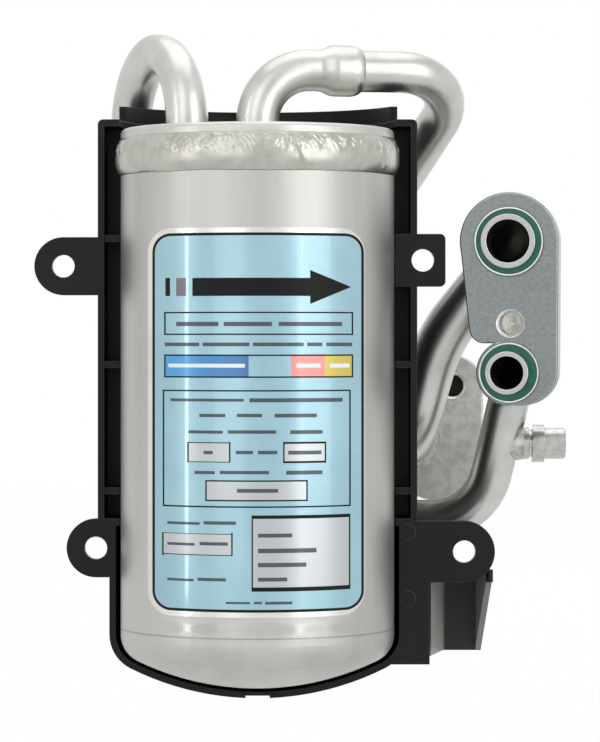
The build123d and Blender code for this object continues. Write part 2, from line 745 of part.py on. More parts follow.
# ================================================================ seals and brazes
def seal_pair(place, pilot_radius, seal_radius, name):
    """A rubber seal on a pilot and the metal ring round it, standing on a spotface."""
    with BuildPart() as seal:
        with BuildSketch(place):
            Circle(seal_radius)
            Circle(pilot_radius - seal_undercut + slip_gap, mode=Mode.SUBTRACT)
        extrude(amount=seal_thickness - slip_gap)
        chamfer(seal.edges(), length=seal_ring_width / 2)
    save(seal, f"{name}_seal")
    with BuildPart() as ring:
        with BuildSketch(place):
            Circle(seal_radius + seal_ring_width)
            Circle(seal_radius, mode=Mode.SUBTRACT)
        extrude(amount=seal_thickness)
    save(ring, f"{name}_seal_ring")


front_floor = front_face.offset(-spotface_depth)
lower_front = Plane(origin=front_floor.from_local_coords((0, -port_spacing, 0)),
                    x_dir=front_floor.x_dir, z_dir=front_floor.z_dir)
seal_pair(front_floor, suction_pilot_radius, suction_seal_radius, "front_suction")
seal_pair(lower_front, liquid_pilot_radius, liquid_seal_radius, "front_liquid")


def rear_plane(port, depth, outward):
    """Plane at a port of the rear block, facing back (+1) or to the front (-1)."""
    origin = receiver_foot.from_local_coords((port[0], depth, port[1]))
    return Plane(origin=origin, x_dir=(-outward, 0, 0), z_dir=(0, outward, 0))


seal_pair(rear_plane(rear_suction_port, rear_face_depth - spotface_depth, 1),
          suction_pilot_radius, suction_seal_radius, "rear_suction")
seal_pair(rear_plane(rear_liquid_port, rear_face_depth - spotface_depth, 1),
          liquid_pilot_radius, liquid_seal_radius, "rear_liquid")

cap_top = level(receiver_height)
inlet_place = Plane(origin=cap_top.from_local_coords((inlet_offset, 0, 0)))
outlet_place = Plane(origin=cap_top.from_local_coords((outlet_offset, 0, 0)))
mouth_wall = socket_wall - socket_lip_drop
braze_ring(inlet_place, small_tube_radius, fillet_leg, "inlet_cap_braze")
braze_ring(outlet_place, small_tube_radius, fillet_leg, "outlet_cap_braze")
union_place = Plane(origin=receiver_foot.from_local_coords((leg_x, leg_y, union_height)))
braze_ring(union_place, small_tube_radius, mouth_wall, "inlet_union_braze")
outlet_mouth = Plane(origin=receiver_foot.from_local_coords(along_outlet(socket_end)),
                     z_dir=(turn_x, turn_y, 0))
braze_ring(outlet_mouth, small_tube_radius, mouth_wall, "outlet_union_braze")
for braze_drop, tube_radius, braze_name in ((0, large_tube_radius, "front_suction_braze"),
                                            (port_spacing, small_tube_radius, "front_liquid_braze")):
    block_back = Plane(origin=receiver_foot.from_local_coords(behind_port(block_thickness, braze_drop)),
                       z_dir=(back_x, back_y, 0))
    braze_ring(block_back, tube_radius, fillet_leg, braze_name)
braze_ring(rear_plane(rear_suction_port, rear_block_depth, -1), large_tube_radius, collar_leg,
           "rear_suction_braze")
braze_ring(rear_plane(rear_liquid_port, rear_block_depth, -1), small_tube_radius, fillet_leg,
           "rear_liquid_braze")

# ================================================================ service port
port_axis = Axis(port_origin, (1, 0, 0))
tube_here = Location(Plane(origin=port_origin, z_dir=liquid_drop.normalized()))
neck_top = service_neck_end - service_groove_width
collar_end = service_neck_end + service_collar_width


def port_profile(depth):
    """Plane whose X runs along the service port from the liquid tube's axis."""
    return Plane(origin=port_origin + Vector(depth, 0, 0), x_dir=(1, 0, 0), z_dir=(0, -1, 0))


with BuildPart() as service_port_body:
    with BuildSketch(port_profile(0)):
        with BuildLine():
            groove_radius = service_neck_radius - service_groove_depth
            Polyline((0, 0), (0, service_neck_radius), (neck_top, service_neck_radius),
                     (neck_top, groove_radius), (service_neck_end, groove_radius),
                     (service_neck_end, service_collar_radius), (collar_end, service_collar_radius),
                     (collar_end, service_body_radius), (service_port_reach, service_body_radius),
                     (service_port_reach, 0), (0, 0))
        make_face()
    revolve(axis=port_axis)
    chamfer(service_port_body.edges().filter_by(GeomType.CIRCLE).group_by(Axis.X)[-1], length=edge_break)
    with BuildSketch(port_face):
        Circle(service_passage_radius)
    extrude(amount=service_port_reach, mode=Mode.SUBTRACT)
    with BuildSketch(port_face.offset(service_port_reach)):
        Circle(service_bore_radius)
    extrude(amount=-service_bore_depth, mode=Mode.SUBTRACT)
    with Locations(tube_here):
        Cylinder(radius=small_tube_radius, height=4 * service_port_reach, mode=Mode.SUBTRACT)
save(service_port_body, "service_port_body")

with BuildPart() as service_port_braze:
    with Locations(Location(port_face)):
        lift = (Align.CENTER, Align.CENTER, Align.MIN)
        saddle_top = small_tube_radius + saddle_height
        Cone(bottom_radius=service_neck_radius + saddle_spread * saddle_top,
             top_radius=service_neck_radius + slip_gap, height=saddle_top, align=lift)
        Cylinder(radius=service_neck_radius, height=saddle_top, align=lift, mode=Mode.SUBTRACT)
    with Locations(tube_here):
        Cylinder(radius=small_tube_radius, height=4 * service_port_reach, mode=Mode.SUBTRACT)
save(service_port_braze, "service_port_braze")

core_outer_end = service_port_reach - core_recess
core_inner_end = core_outer_end - core_length
core_end_wall = (core_length - core_cavity_length) / 3
cavity_outer_end = core_outer_end - core_end_wall
cavity_inner_end = cavity_outer_end - core_cavity_length
pin_hole_radius = pin_radius + pin_running_gap
with BuildPart() as valve_core_body:
    with BuildSketch(port_profile(0)):
        with BuildLine():
            core_radius = service_bore_radius - slip_gap
            Polyline((core_inner_end, pin_hole_radius), (core_inner_end, core_radius),
                     (core_outer_end, core_radius), (core_outer_end, pin_hole_radius),
                     (cavity_outer_end, pin_hole_radius), (cavity_outer_end, core_cavity_radius),
                     (cavity_inner_end, core_cavity_radius), (cavity_inner_end, pin_hole_radius),
                     (core_inner_end, pin_hole_radius))
        make_face()
    revolve(axis=port_axis)
save(valve_core_body, "valve_core_body")

pin_tip = core_outer_end + core_recess / 2
collar_outer = cavity_outer_end - slip_gap
collar_inner = collar_outer - pin_collar_width
head_outer = core_inner_end - slip_gap
head_inner = head_outer - pin_head_width
with BuildPart() as valve_core_pin:
    with BuildSketch(port_profile(0)):
        with BuildLine():
            Polyline((head_inner, 0), (head_inner, pin_head_radius), (head_outer, pin_head_radius),
                     (head_outer, pin_radius), (collar_inner, pin_radius),
                     (collar_inner, pin_collar_radius), (collar_outer, pin_collar_radius),
                     (collar_outer, pin_radius), (pin_tip, pin_radius), (pin_tip, 0), (head_inner, 0))
        make_face()
    revolve(axis=port_axis)
save(valve_core_pin, "valve_core_pin")

spring_start = cavity_inner_end + core_spring_wire + slip_gap
spring_room = collar_inner - cavity_inner_end - 2 * (core_spring_wire + slip_gap)
core_spring_radius = (pin_radius + pin_collar_radius) / 2
with BuildPart() as valve_core_spring:
    spring_line = Helix(pitch=spring_room / core_spring_turns, height=spring_room,
                        radius=core_spring_radius,
                        center=port_origin + Vector(spring_start, 0, 0), direction=(1, 0, 0))
    with BuildSketch(Plane(origin=spring_line @ 0, z_dir=spring_line % 0)) as wire:
        Circle(core_spring_wire)
    sweep(sections=wire.sketch, path=spring_line)
save(valve_core_spring, "valve_core_spring")

# ================================================================ inside the receiver
inner_radius = can_radius - can_wall - seat_gap
pad_low = support_height
bed_low = pad_low + filter_pad_thickness
bed_high = bed_low + bed_height
pad_high = bed_high + filter_pad_thickness
tube_hole_radius = pickup_radius + seat_gap


def round_layer(low, high):
    """Add a round layer that fills the receiver, with a hole for the pickup tube."""
    with BuildSketch(level(low)) as layer:
        Circle(inner_radius)
        with Locations((outlet_offset, 0)):
            Circle(tube_hole_radius, mode=Mode.SUBTRACT)
    extrude(to_extrude=layer.sketch, amount=high - low)


def perforate(low, high):
    """Cut circles of small holes through a layer."""
    for circle_radius in perforation_circles:
        hole_count = int(2 * pi * circle_radius / perforation_pitch)
        with BuildSketch(level(low)) as holes:
            with PolarLocations(circle_radius, hole_count):
                Circle(perforation_radius)
        extrude(to_extrude=holes.sketch, amount=high - low, mode=Mode.SUBTRACT)


with BuildPart() as pickup_tube:
    with BuildSketch(level(tube_foot)):
        with Locations((outlet_offset, 0)):
            Circle(pickup_radius)
            Circle(pickup_radius - pickup_wall, mode=Mode.SUBTRACT)
    extrude(amount=-(tube_foot - can_wall - pickup_foot_gap))
save(pickup_tube, "pickup_tube")

with BuildPart() as lower_screen:
    round_layer(support_height - screen_thickness, support_height)
    perforate(support_height - screen_thickness, support_height)
    with BuildSketch(level(support_skirt_foot)):
        Circle(inner_radius)
        Circle(inner_radius - screen_thickness, mode=Mode.SUBTRACT)
    extrude(amount=support_height - support_skirt_foot)
save(lower_screen, "lower_screen")

with BuildPart() as lower_filter_pad:
    round_layer(pad_low, bed_low)
save(lower_filter_pad, "lower_filter_pad")

with BuildPart() as desiccant_bed:
    round_layer(bed_low, bed_high)
save(desiccant_bed, "desiccant_bed")

with BuildPart() as upper_filter_pad:
    round_layer(bed_high, pad_high)
save(upper_filter_pad, "upper_filter_pad")

screen_top = pad_high + screen_thickness
with BuildPart() as upper_screen:
    round_layer(pad_high, screen_top)
    perforate(pad_high, screen_top)
save(upper_screen, "upper_screen")

bed_spring_room = cap_underside - screen_top - 2 * bed_spring_wire_radius
with BuildPart() as bed_spring:
    bed_spring_line = Helix(pitch=bed_spring_room / bed_spring_turns, height=bed_spring_room,
                            radius=bed_spring_radius,
                            center=receiver_foot.from_local_coords(
                                (0, 0, screen_top + bed_spring_wire_radius)))
    with BuildSketch(Plane(origin=bed_spring_line @ 0, z_dir=bed_spring_line % 0)) as bed_wire:
        Circle(bed_spring_wire_radius - slip_gap)
    sweep(sections=bed_wire.sketch, path=bed_spring_line)
save(bed_spring, "bed_spring")
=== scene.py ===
"""Looks of a vehicle air conditioner's filter drier, in its cradle bracket with its lines.

Metres, +Z up, the front faces -Y. The origin is the centre of the bracket's upper left hole.
Lengths in the classes are in millimetres unless a name or comment says otherwise.
"""

import logging
import math
from dataclasses import dataclass, field
from enum import Enum
from functools import partial, reduce

import bmesh
import bpy
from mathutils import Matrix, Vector


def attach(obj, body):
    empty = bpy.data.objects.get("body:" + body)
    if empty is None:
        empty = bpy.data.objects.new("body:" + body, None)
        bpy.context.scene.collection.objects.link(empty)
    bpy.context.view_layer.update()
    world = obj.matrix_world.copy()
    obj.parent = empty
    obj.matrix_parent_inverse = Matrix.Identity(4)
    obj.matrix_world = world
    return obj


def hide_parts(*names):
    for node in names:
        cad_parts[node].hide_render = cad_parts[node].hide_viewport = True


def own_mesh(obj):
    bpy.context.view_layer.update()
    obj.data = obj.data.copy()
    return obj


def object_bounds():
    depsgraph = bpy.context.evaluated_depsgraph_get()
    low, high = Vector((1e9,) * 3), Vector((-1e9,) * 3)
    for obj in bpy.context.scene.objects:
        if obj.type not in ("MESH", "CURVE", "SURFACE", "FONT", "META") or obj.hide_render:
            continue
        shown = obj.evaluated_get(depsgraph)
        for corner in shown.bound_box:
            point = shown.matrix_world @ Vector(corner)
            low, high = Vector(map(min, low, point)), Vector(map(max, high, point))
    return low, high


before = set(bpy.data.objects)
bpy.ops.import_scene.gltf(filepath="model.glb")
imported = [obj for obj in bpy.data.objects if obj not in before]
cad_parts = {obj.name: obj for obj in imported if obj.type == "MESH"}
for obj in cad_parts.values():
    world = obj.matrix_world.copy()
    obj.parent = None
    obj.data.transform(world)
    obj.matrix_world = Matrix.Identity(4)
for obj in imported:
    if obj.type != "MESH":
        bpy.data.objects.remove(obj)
cad_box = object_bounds()
log = logging.getLogger("filter_drier")

MM = 0.001
BODY = "receiver_assembly"
AXIS = Vector((0.0722, -0.0045, -0.1564))  # the receiver's foot, on its axis
CAN_RADIUS = 50.8
COAT_ROUGHNESS = 0.12
EDGE_SAMPLES = 6               # rays that round the normal at an edge
EDGE_FACING = (0.995, 0.88)    # cosine of rounded to true normal where the painted edge light starts, is full


def linear(hex_colour: str) -> tuple[float, float, float, float]:
    """Turns an sRGB hex colour into linear RGBA.

    Args:
        hex_colour: Six hex digits.

    Returns:
        The linear colour with an alpha of 1.
    """
    parts = [int(hex_colour[i:i + 2], 16) / 255 for i in (0, 2, 4)]
    return tuple(c / 12.92 if c <= 0.04045 else ((c + 0.055) / 1.055) ** 2.4
                 for c in parts) + (1.0,)


def add_node(tree: bpy.types.NodeTree, kind: str, inputs: dict | None = None,
             **settings: object) -> bpy.types.Node:
    """Adds one node with its settings and inputs.

    Args:
        tree: The tree that gets the node.
        kind: The node's type name.
        inputs: Socket name or number to a fixed value, or to the output that feeds it.
        **settings: Properties of the node itself.

    Returns:
        The new node.
    """
    node = tree.nodes.new(kind)
    for name, value in settings.items():
        setattr(node, name, value)
    for key, value in (inputs or {}).items():
        if isinstance(value, bpy.types.NodeSocket):
            tree.links.new(value, node.inputs[key])
        else:
            node.inputs[key].default_value = value
    return node


def maths(tree: bpy.types.NodeTree, operation: str, *values: object) -> bpy.types.NodeSocket:
    """Adds a Math node.

    Args:
        tree: The tree that gets the node.
        operation: What it works out.
        *values: Its numbers and sockets, in order.

    Returns:
        The result.
    """
    return add_node(tree, "ShaderNodeMath", dict(enumerate(values)),
                    operation=operation).outputs[0]


def vector_maths(tree: bpy.types.NodeTree, operation: str, *values: object) -> bpy.types.Node:
    """Adds a Vector Math node.

    Args:
        tree: The tree that gets the node.
        operation: What it works out.
        *values: Its vectors and sockets, in order.

    Returns:
        The node, which gives a vector in its first output and a number in "Value".
    """
    return add_node(tree, "ShaderNodeVectorMath", dict(enumerate(values)), operation=operation)


def ramp(tree: bpy.types.NodeTree, value: bpy.types.NodeSocket, start: float, end: float,
         low: float = 0.0, high: float = 1.0, kind: str = "LINEAR") -> bpy.types.NodeSocket:
    """Adds a clamped Map Range node.

    Args:
        tree: The tree that gets the node.
        value: What it maps.
        start: The value that gives low.
        end: The value that gives high.
        low: First result.
        high: Last result.
        kind: How it goes from one to the other.

    Returns:
        The result.
    """
    return add_node(tree, "ShaderNodeMapRange",
                    {"From Min": start, "From Max": end, "To Min": low, "To Max": high,
                     "Value": value}, interpolation_type=kind).outputs[0]


def mix(tree: bpy.types.NodeTree, share: bpy.types.NodeSocket, under: object,
        over: object) -> bpy.types.NodeSocket:
    """Mixes two colours, each a fixed colour or a socket.

    Args:
        tree: The material's nodes.
        share: How much of the second shows.
        under: The first colour.
        over: The second colour.

    Returns:
        The mixed colour.
    """
    return add_node(tree, "ShaderNodeMixRGB",
                    {"Fac": share, "Color1": under, "Color2": over}).outputs[0]


def lay_over(tree: bpy.types.NodeTree, socket: bpy.types.NodeSocket, mask: bpy.types.NodeSocket,
             over: object) -> None:
    """Lays a colour over what already feeds a socket.

    Args:
        tree: The material's nodes.
        socket: The input that is fed.
        mask: Where the new colour shows.
        over: The new colour, fixed or a socket; a grey stands for a number.
    """
    tree.links.new(mix(tree, mask, socket.links[0].from_socket, over), socket)


def two_tone(tree: bpy.types.NodeTree, share: bpy.types.NodeSocket, colours: tuple[str, str],
             stops: tuple[float, float] = (0.0, 1.0)) -> bpy.types.NodeSocket:
    """Adds a ramp between two colours.

    Args:
        tree: The material's nodes.
        share: Where on the ramp a point lies.
        colours: First and last sRGB hex colour.
        stops: Where each of them is reached.

    Returns:
        The colour.
    """
    node = add_node(tree, "ShaderNodeValToRGB", {"Fac": share})
    for element, colour, stop in zip(node.color_ramp.elements, colours, stops):
        element.position, element.color = stop, linear(colour)
    return node.outputs["Color"]


def grey(value: float) -> tuple[float, float, float, float]:
    """Gives a number as a grey, for a mix that feeds a number.

    Args:
        value: The number.

    Returns:
        The grey.
    """
    return (value,) * 3 + (1.0,)


def object_place(tree: bpy.types.NodeTree) -> bpy.types.NodeSocket:
    """Adds the node that reads where on its piece a point lies.

    Args:
        tree: The material's nodes.

    Returns:
        The Object coordinates.
    """
    return add_node(tree, "ShaderNodeTexCoord").outputs["Object"]


def inside(tree: bpy.types.NodeTree, low: tuple[float, ...], high: tuple[float, ...],
           blur: float = 0.3) -> bpy.types.NodeSocket:
    """Masks a box of a piece.

    Args:
        tree: The material's nodes.
        low: Lowest corner from the receiver's foot.
        high: Highest corner.
        blur: Half width of the mask's edge.

    Returns:
        A socket that is 1 inside the box.
    """
    split = add_node(tree, "ShaderNodeSeparateXYZ", {0: object_place(tree)}).outputs
    walls = [ramp(tree, split[axis], AXIS[axis] + (corner[axis] - slope) * MM,
                  AXIS[axis] + (corner[axis] + slope) * MM)
             for axis in range(3) for corner, slope in ((low, blur), (high, -blur))]
    return reduce(partial(maths, tree, "MULTIPLY"), walls)


def rounded_normal(tree: bpy.types.NodeTree, radius: float) -> bpy.types.NodeSocket:
    """Adds a normal that is rounded over the edges.

    Args:
        tree: The material's nodes.
        radius: The rounding.

    Returns:
        The normal.
    """
    return add_node(tree, "ShaderNodeBevel", {"Radius": radius * MM},
                    samples=EDGE_SAMPLES).outputs[0]


def paint_edge_light_and_shade(tree: bpy.types.NodeTree, base: bpy.types.NodeSocket, edge: bpy.types.NodeSocket,
            colour: str) -> bpy.types.NodeSocket:
    """Paints light or shade along the edges: the given tone where the rounded normal turns from the
    true one.

    Args:
        tree: The material's nodes.
        base: Colour of the plain surface.
        edge: Normal with the edges rounded.
        colour: sRGB hex colour of the painted highlight or painted shade on the edges.

    Returns:
        The colour with the light or shade painted on its edges.
    """
    facing = add_node(tree, "ShaderNodeNewGeometry").outputs["Normal"]
    along = vector_maths(tree, "DOT_PRODUCT", edge, facing).outputs["Value"]
    return mix(tree, ramp(tree, along, *EDGE_FACING), base, linear(colour))


def new_material(name: str) -> tuple[bpy.types.Material, bpy.types.NodeTree, bpy.types.Node]:
    """Makes an empty material.

    Args:
        name: Its name.

    Returns:
        The material, its nodes and its shader.
    """
    mat = bpy.data.materials.new(name)
    mat.use_nodes = True
    return mat, mat.node_tree, mat.node_tree.nodes["Principled BSDF"]


class Stretch(Enum):
    """Direction in which a surface's texture is drawn out."""

    NONE = (1.0, 1.0, 1.0)
    UPRIGHT = (1.0, 1.0, 0.08)


@dataclass(frozen=True)
class Finish:
    """One surface finish: its base, the tone that mottles it, and its fine relief."""

    name: str
    colour: str
    tone: str
    roughness: float
    metallic: float
    rough_swing: float
    patch_mm: float            # size of the larger patches of tone
    grain_mm: float            # size of the fine relief
    relief_mm: float           # height of the fine relief; 0 leaves the surface smooth
    tone_share: tuple[float, float] = (0.42, 0.66)
    stretch: Stretch = Stretch.NONE
    coat: float = 0.0
    coat_roughness: float = COAT_ROUGHNESS
    specular: float = 0.5
    edge_mm: float = 0.0       # rounding that catches light on moulded or broken edges, and width of the painted edge tone
    edge_light_and_shade: str = ""      # colour of the highlight or shade painted on those edges

    def make(self) -> bpy.types.Material:
        """Builds the material.

        Returns:
            The material, reading Object coordinates.
        """
        mat, tree, shader = new_material(self.name)
        for socket, value in (("Metallic", self.metallic), ("Coat Weight", self.coat),
                              ("Coat Roughness", self.coat_roughness),
                              ("Specular IOR Level", self.specular)):
            shader.inputs[socket].default_value = value
        mapped = add_node(tree, "ShaderNodeMapping",
                          {"Vector": object_place(tree), "Scale": self.stretch.value}).outputs[0]
        patches, grain = (
            add_node(tree, "ShaderNodeTexNoise",
                     {"Vector": mapped, "Scale": 1 / MM / size, "Detail": detail,
                      "Roughness": rough}).outputs[0]
            for size, detail, rough in ((self.patch_mm, 5.0, 0.6), (self.grain_mm, 3.0, 0.55)))
        base = two_tone(tree, patches, (self.colour, self.tone), self.tone_share)
        rough = ramp(tree, grain, 0.0, 1.0, self.roughness - self.rough_swing,
                     self.roughness + self.rough_swing)
        tree.links.new(rough, shader.inputs["Roughness"])
        if self.relief_mm:
            bump = add_node(tree, "ShaderNodeBump",
                            {"Strength": 1.0, "Distance": self.relief_mm * MM, "Height": grain})
            if self.edge_mm:
                edge = rounded_normal(tree, self.edge_mm)
                tree.links.new(edge, bump.inputs["Normal"])
                # paints a highlight or shade along the rounded edges
                base = paint_edge_light_and_shade(tree, base, edge, self.edge_light_and_shade)
            tree.links.new(bump.outputs[0], shader.inputs["Normal"])
        tree.links.new(base, shader.inputs["Base Color"])
        return mat


# Deep-drawn aluminium: satin, with faint upright draw lines and soft cloudy patches.
DRAWN_ALUMINIUM = Finish("drawn_aluminium", "BDBDB9", "B0B0AC", 0.45, 1.0, 0.05, 26.0, 0.9,
                         0.006, stretch=Stretch.UPRIGHT)
# Turned aluminium cap: satin, a little brighter than the drawn wall.
TURNED_ALUMINIUM = Finish("turned_aluminium", "C8C8C3", "BBBBB6", 0.42, 1.0, 0.06, 18.0, 0.7,
                          0.008)
# Arc-welded aluminium: cast skin, mottled between bright and dull.
WELDED_ALUMINIUM = Finish("welded_aluminium", "BBBAB3", "ACABA4", 0.32, 1.0, 0.10, 7.0, 0.9, 0.02)
# Bent aluminium tube: drawn satin, faintly mottled.
TUBE_ALUMINIUM = Finish("bent_aluminium_tube", "C8C9C5", "BBBCB7", 0.33, 1.0, 0.07, 14.0, 0.8,
                        0.012)
# Brazing alloy: dull and lumpy beside the tube.
BRAZE_ALLOY = Finish("braze_alloy", "BFBEB8", "98978F", 0.48, 1.0, 0.12, 2.5, 0.6, 0.05)
# Tumbled aluminium block: blasted grey, mottled, with a fine tooth, and a painted highlight along
# its edges.
TUMBLED_ALUMINIUM = Finish("tumbled_aluminium", "878C8B", "727778", 0.38, 1.0, 0.16, 1.0, 0.30,
                           0.05, (0.34, 0.72), edge_mm=0.5, edge_light_and_shade="D3D6D6")
# The rear block: the same tumbled skin, warmer and less blasted, painted lighter to make up for the
# weaker light that reaches it, with a painted highlight along its edges.
REAR_ALUMINIUM_LIGHTENED = Finish("tumbled_aluminium_rear_lightened", "CDCBC5", "B4B2AC", 0.44, 1.0, 0.10, 4.0, 0.4,
                        0.03, edge_mm=0.5, edge_light_and_shade="DEDCD6")
# Machined aluminium: bright lathe-cut faces, with painted shade along the edges.
MACHINED_ALUMINIUM = Finish("machined_aluminium", "BDBDBA", "A8A8A5", 0.20, 1.0, 0.06, 3.0, 0.4,
                            0.004, edge_mm=0.3, edge_light_and_shade="8E8E8B")
# Zinc-plated steel: cool, bright and a little uneven.
ZINC_STEEL = Finish("zinc_plated_steel", "CFD1D2", "BDBFC1", 0.28, 1.0, 0.08, 4.0, 0.4, 0.006)
# Black-oxide steel: near black with a soft sheen.
BLACK_STEEL = Finish("black_oxide_steel", "2B2B2C", "201F20", 0.42, 0.9, 0.08, 3.0, 0.4, 0.01)
# Turned brass: warm and bright.
BRASS = Finish("turned_brass", "C9A25A", "B48C45", 0.25, 1.0, 0.06, 3.0, 0.3, 0.004)
# Drawn spring wire: grey and smooth.
SPRING_WIRE = Finish("drawn_spring_wire", "A4A6A9", "8F9194", 0.30, 1.0, 0.06, 2.0, 0.3, 0.004)
# Moulded nylon: black, with the soft sheen of a lightly textured tool and a painted highlight along
# the edges.
MOULDED_NYLON = Finish("moulded_black_nylon", "0A0A0B", "111112", 0.40, 0.0, 0.07, 30.0, 0.5, 0.012,
                       specular=0.22, edge_mm=0.5, edge_light_and_shade="3E3E3D")
# Moulded HNBR rubber: deep green and slightly glossy.
GREEN_RUBBER = Finish("moulded_green_rubber", "0F6148", "0B5540", 0.38, 0.0, 0.06, 3.0, 0.4, 0.006)
# Needled felt: off-white and fully matt.
FELT = Finish("needled_felt", "DAD6C9", "C9C4B5", 0.95, 0.0, 0.03, 4.0, 0.5, 0.15)
# Fired desiccant: pinkish-tan beads, matt.
DESICCANT = Finish("fired_desiccant_beads", "C8B197", "B39A7E", 0.85, 0.0, 0.05, 3.0, 1.6, 0.3)
# Metallised film: bare silvery rim of the label.
BARE_FILM = Finish("bare_metallised_film", "DCDBD8", "D2D1CE", 0.26, 1.0, 0.03, 20.0, 0.8, 0.0)
# Pale blue ink on metallised film: half metallic, glossy.
BLUE_FILM = Finish("pale_blue_film", "98C0CC", "90B8C5", 0.30, 0.35, 0.03, 24.0, 0.8, 0.0, coat=0.8,
                   coat_roughness=0.04)


@dataclass(frozen=True)
class Ink:
    """A flat glossy ink, with an optional second colour that it fades to across the label."""

    name: str
    colour: str
    metallic: float = 0.0
    roughness: float = 0.34
    coat: float = 0.3
    specular: float = 0.5
    fade_to: str = ""
    fade_mm: tuple[float, float] = (0.0, 1.0)   # start and end in X from the receiver's axis

    def make(self) -> bpy.types.Material:
        """Builds the ink's material.

        Returns:
            The material.
        """
        mat, tree, shader = new_material(self.name)
        for socket, value in (("Base Color", linear(self.colour)), ("Metallic", self.metallic),
                              ("Roughness", self.roughness), ("Coat Weight", self.coat),
                              ("Coat Roughness", COAT_ROUGHNESS),
                              ("Specular IOR Level", self.specular)):
            shader.inputs[socket].default_value = value
        if self.fade_to:
            split = add_node(tree, "ShaderNodeSeparateXYZ", {0: object_place(tree)})
            share = ramp(tree, split.outputs["X"], *(AXIS.x + x * MM for x in self.fade_mm))
            tree.links.new(two_tone(tree, share, (self.colour, self.fade_to)),
                           shader.inputs["Base Color"])
        return mat


class Print(Enum):
    """Inks of the label, in the order of its material slots."""

    BLACK = 0
    BLUE = 1
    GREY = 2
    SILVER = 3
    FADE = 4
    PINK = 5
    YELLOW = 6
    BAR = 7
    WHITE = 8


INKS = {
    Print.BLACK: Ink("black_ink", "060607", roughness=0.45, coat=0.0, specular=0.2),
    Print.BLUE: BLUE_FILM,
    Print.GREY: Ink("grey_ink", "6F6570", 0.3),
    Print.SILVER: Ink("silver_ink", "B6BABC", 0.8, 0.34),
    Print.FADE: Ink("sky_to_slate_ink", "4AA3DC", 0.2, 0.3, fade_to="3F6FA8",
                    fade_mm=(-36.0, -3.0)),
    Print.PINK: Ink("pink_ink", "E08D86", 0.25, 0.3),
    Print.YELLOW: Ink("yellow_ink", "CDBB5A", 0.25, 0.3),
    Print.BAR: Ink("slate_ink", "3B4650"),
    Print.WHITE: Ink("white_ink", "E4ECF0"),
}

def dress(material: bpy.types.Material, *nodes: str) -> None:
    """Gives CAD nodes a material.

    Args:
        material: The finish.
        *nodes: Names of the CAD nodes.
    """
    for name in nodes:
        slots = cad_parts[name].data.materials
        slots.clear()
        slots.append(material)
        log.info("dressed %s in %s", name, material.name)


def add_piece(name: str, mesh: bpy.types.Mesh, materials: list[bpy.types.Material],
              stands_for: tuple[str, ...] = ()) -> bpy.types.Object:
    """Puts a finished mesh in the scene, on the receiver's body.

    Args:
        name: The piece's name.
        mesh: Its mesh, already in place in metres.
        materials: Its materials in slot order.
        stands_for: CAD nodes that it replaces.

    Returns:
        The new object.
    """
    for place, material in enumerate(materials):
        if place < len(mesh.materials):
            mesh.materials[place] = material
        else:
            mesh.materials.append(material)
    piece = bpy.data.objects.new(name, mesh)
    bpy.context.scene.collection.objects.link(piece)
    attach(piece, BODY)
    if stands_for:
        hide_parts(*stands_for)
    log.info("built %s: %d faces", name, len(mesh.polygons))
    return piece


@dataclass(frozen=True)
class DrawingGrid:
    """The drawing of the print, cast onto the film from a point far in front of the can.

    Its columns count to the right and its rows count down.
    """

    film_radius: float = 51.1
    eye_distance: float = 1200.0   # from the receiver's axis
    eye_x: float = 15.8            # the eye's place from the receiver's foot
    eye_height: float = 129.7
    eye_column: float = 300.0      # the same place on the drawing
    eye_row: float = 338.0
    units: float = 3227.0          # drawing units across a slope of one
    rounds: int = 12               # steps that settle where a ray meets the film

    def depth(self, x: float) -> float:
        """Gives the film's distance from the eye.

        Args:
            x: Distance in X from the receiver's axis.

        Returns:
            The distance along Y.
        """
        return self.eye_distance - math.sqrt(self.film_radius ** 2 - x ** 2)

    def place(self, column: float, row: float) -> tuple[float, float]:
        """Turns a place on the drawing into one on the film.

        Args:
            column: Its column.
            row: Its row.

        Returns:
            X from the receiver's axis and height over its foot.
        """
        x = 0.0
        for _ in range(self.rounds):
            x = self.eye_x + (column - self.eye_column) * self.depth(x) / self.units
        return x, self.eye_height - (row - self.eye_row) * self.depth(x) / self.units


GRID = DrawingGrid()

# Left and right column, top and bottom row, and ink of each plain field.
PLAIN_FIELDS = (
    ((166.0, 170.6, 278, 296), Print.BLACK),
    ((176.7, 186.4, 278, 296), Print.GREY),
    ((192.8, 310.2, 278, 296), Print.BLACK),
    ((164.8, 248.7, 354.4, 377.4), Print.FADE),
    ((248.7, 290.8, 354.4, 377.4), Print.BLUE),
    ((290.8, 324.4, 354.4, 377.4), Print.PINK),
    ((324.4, 352.5, 354.4, 377.4), Print.YELLOW),
)

# The same for each ruled box; one without an ink is open.
RULED_BOXES = (
    ((164.8, 352.5, 312, 335), None),
    ((164.8, 352.5, 354.4, 377.4), None),
    ((163.4, 350.1, 389.6, 506), None),
    ((187.8, 230.6, 442, 462.6), Print.SILVER),
    ((283, 325.7, 442, 462.6), Print.SILVER),
    ((205.7, 307.4, 480, 501), Print.SILVER),
    ((251.6, 349.7, 515.5, 588.9), Print.SILVER),
    ((162.8, 232.8, 532.7, 555.1), Print.SILVER),
)

ARROW_HEAD = ((309.9, 304), (350.5, 287), (309.9, 270))

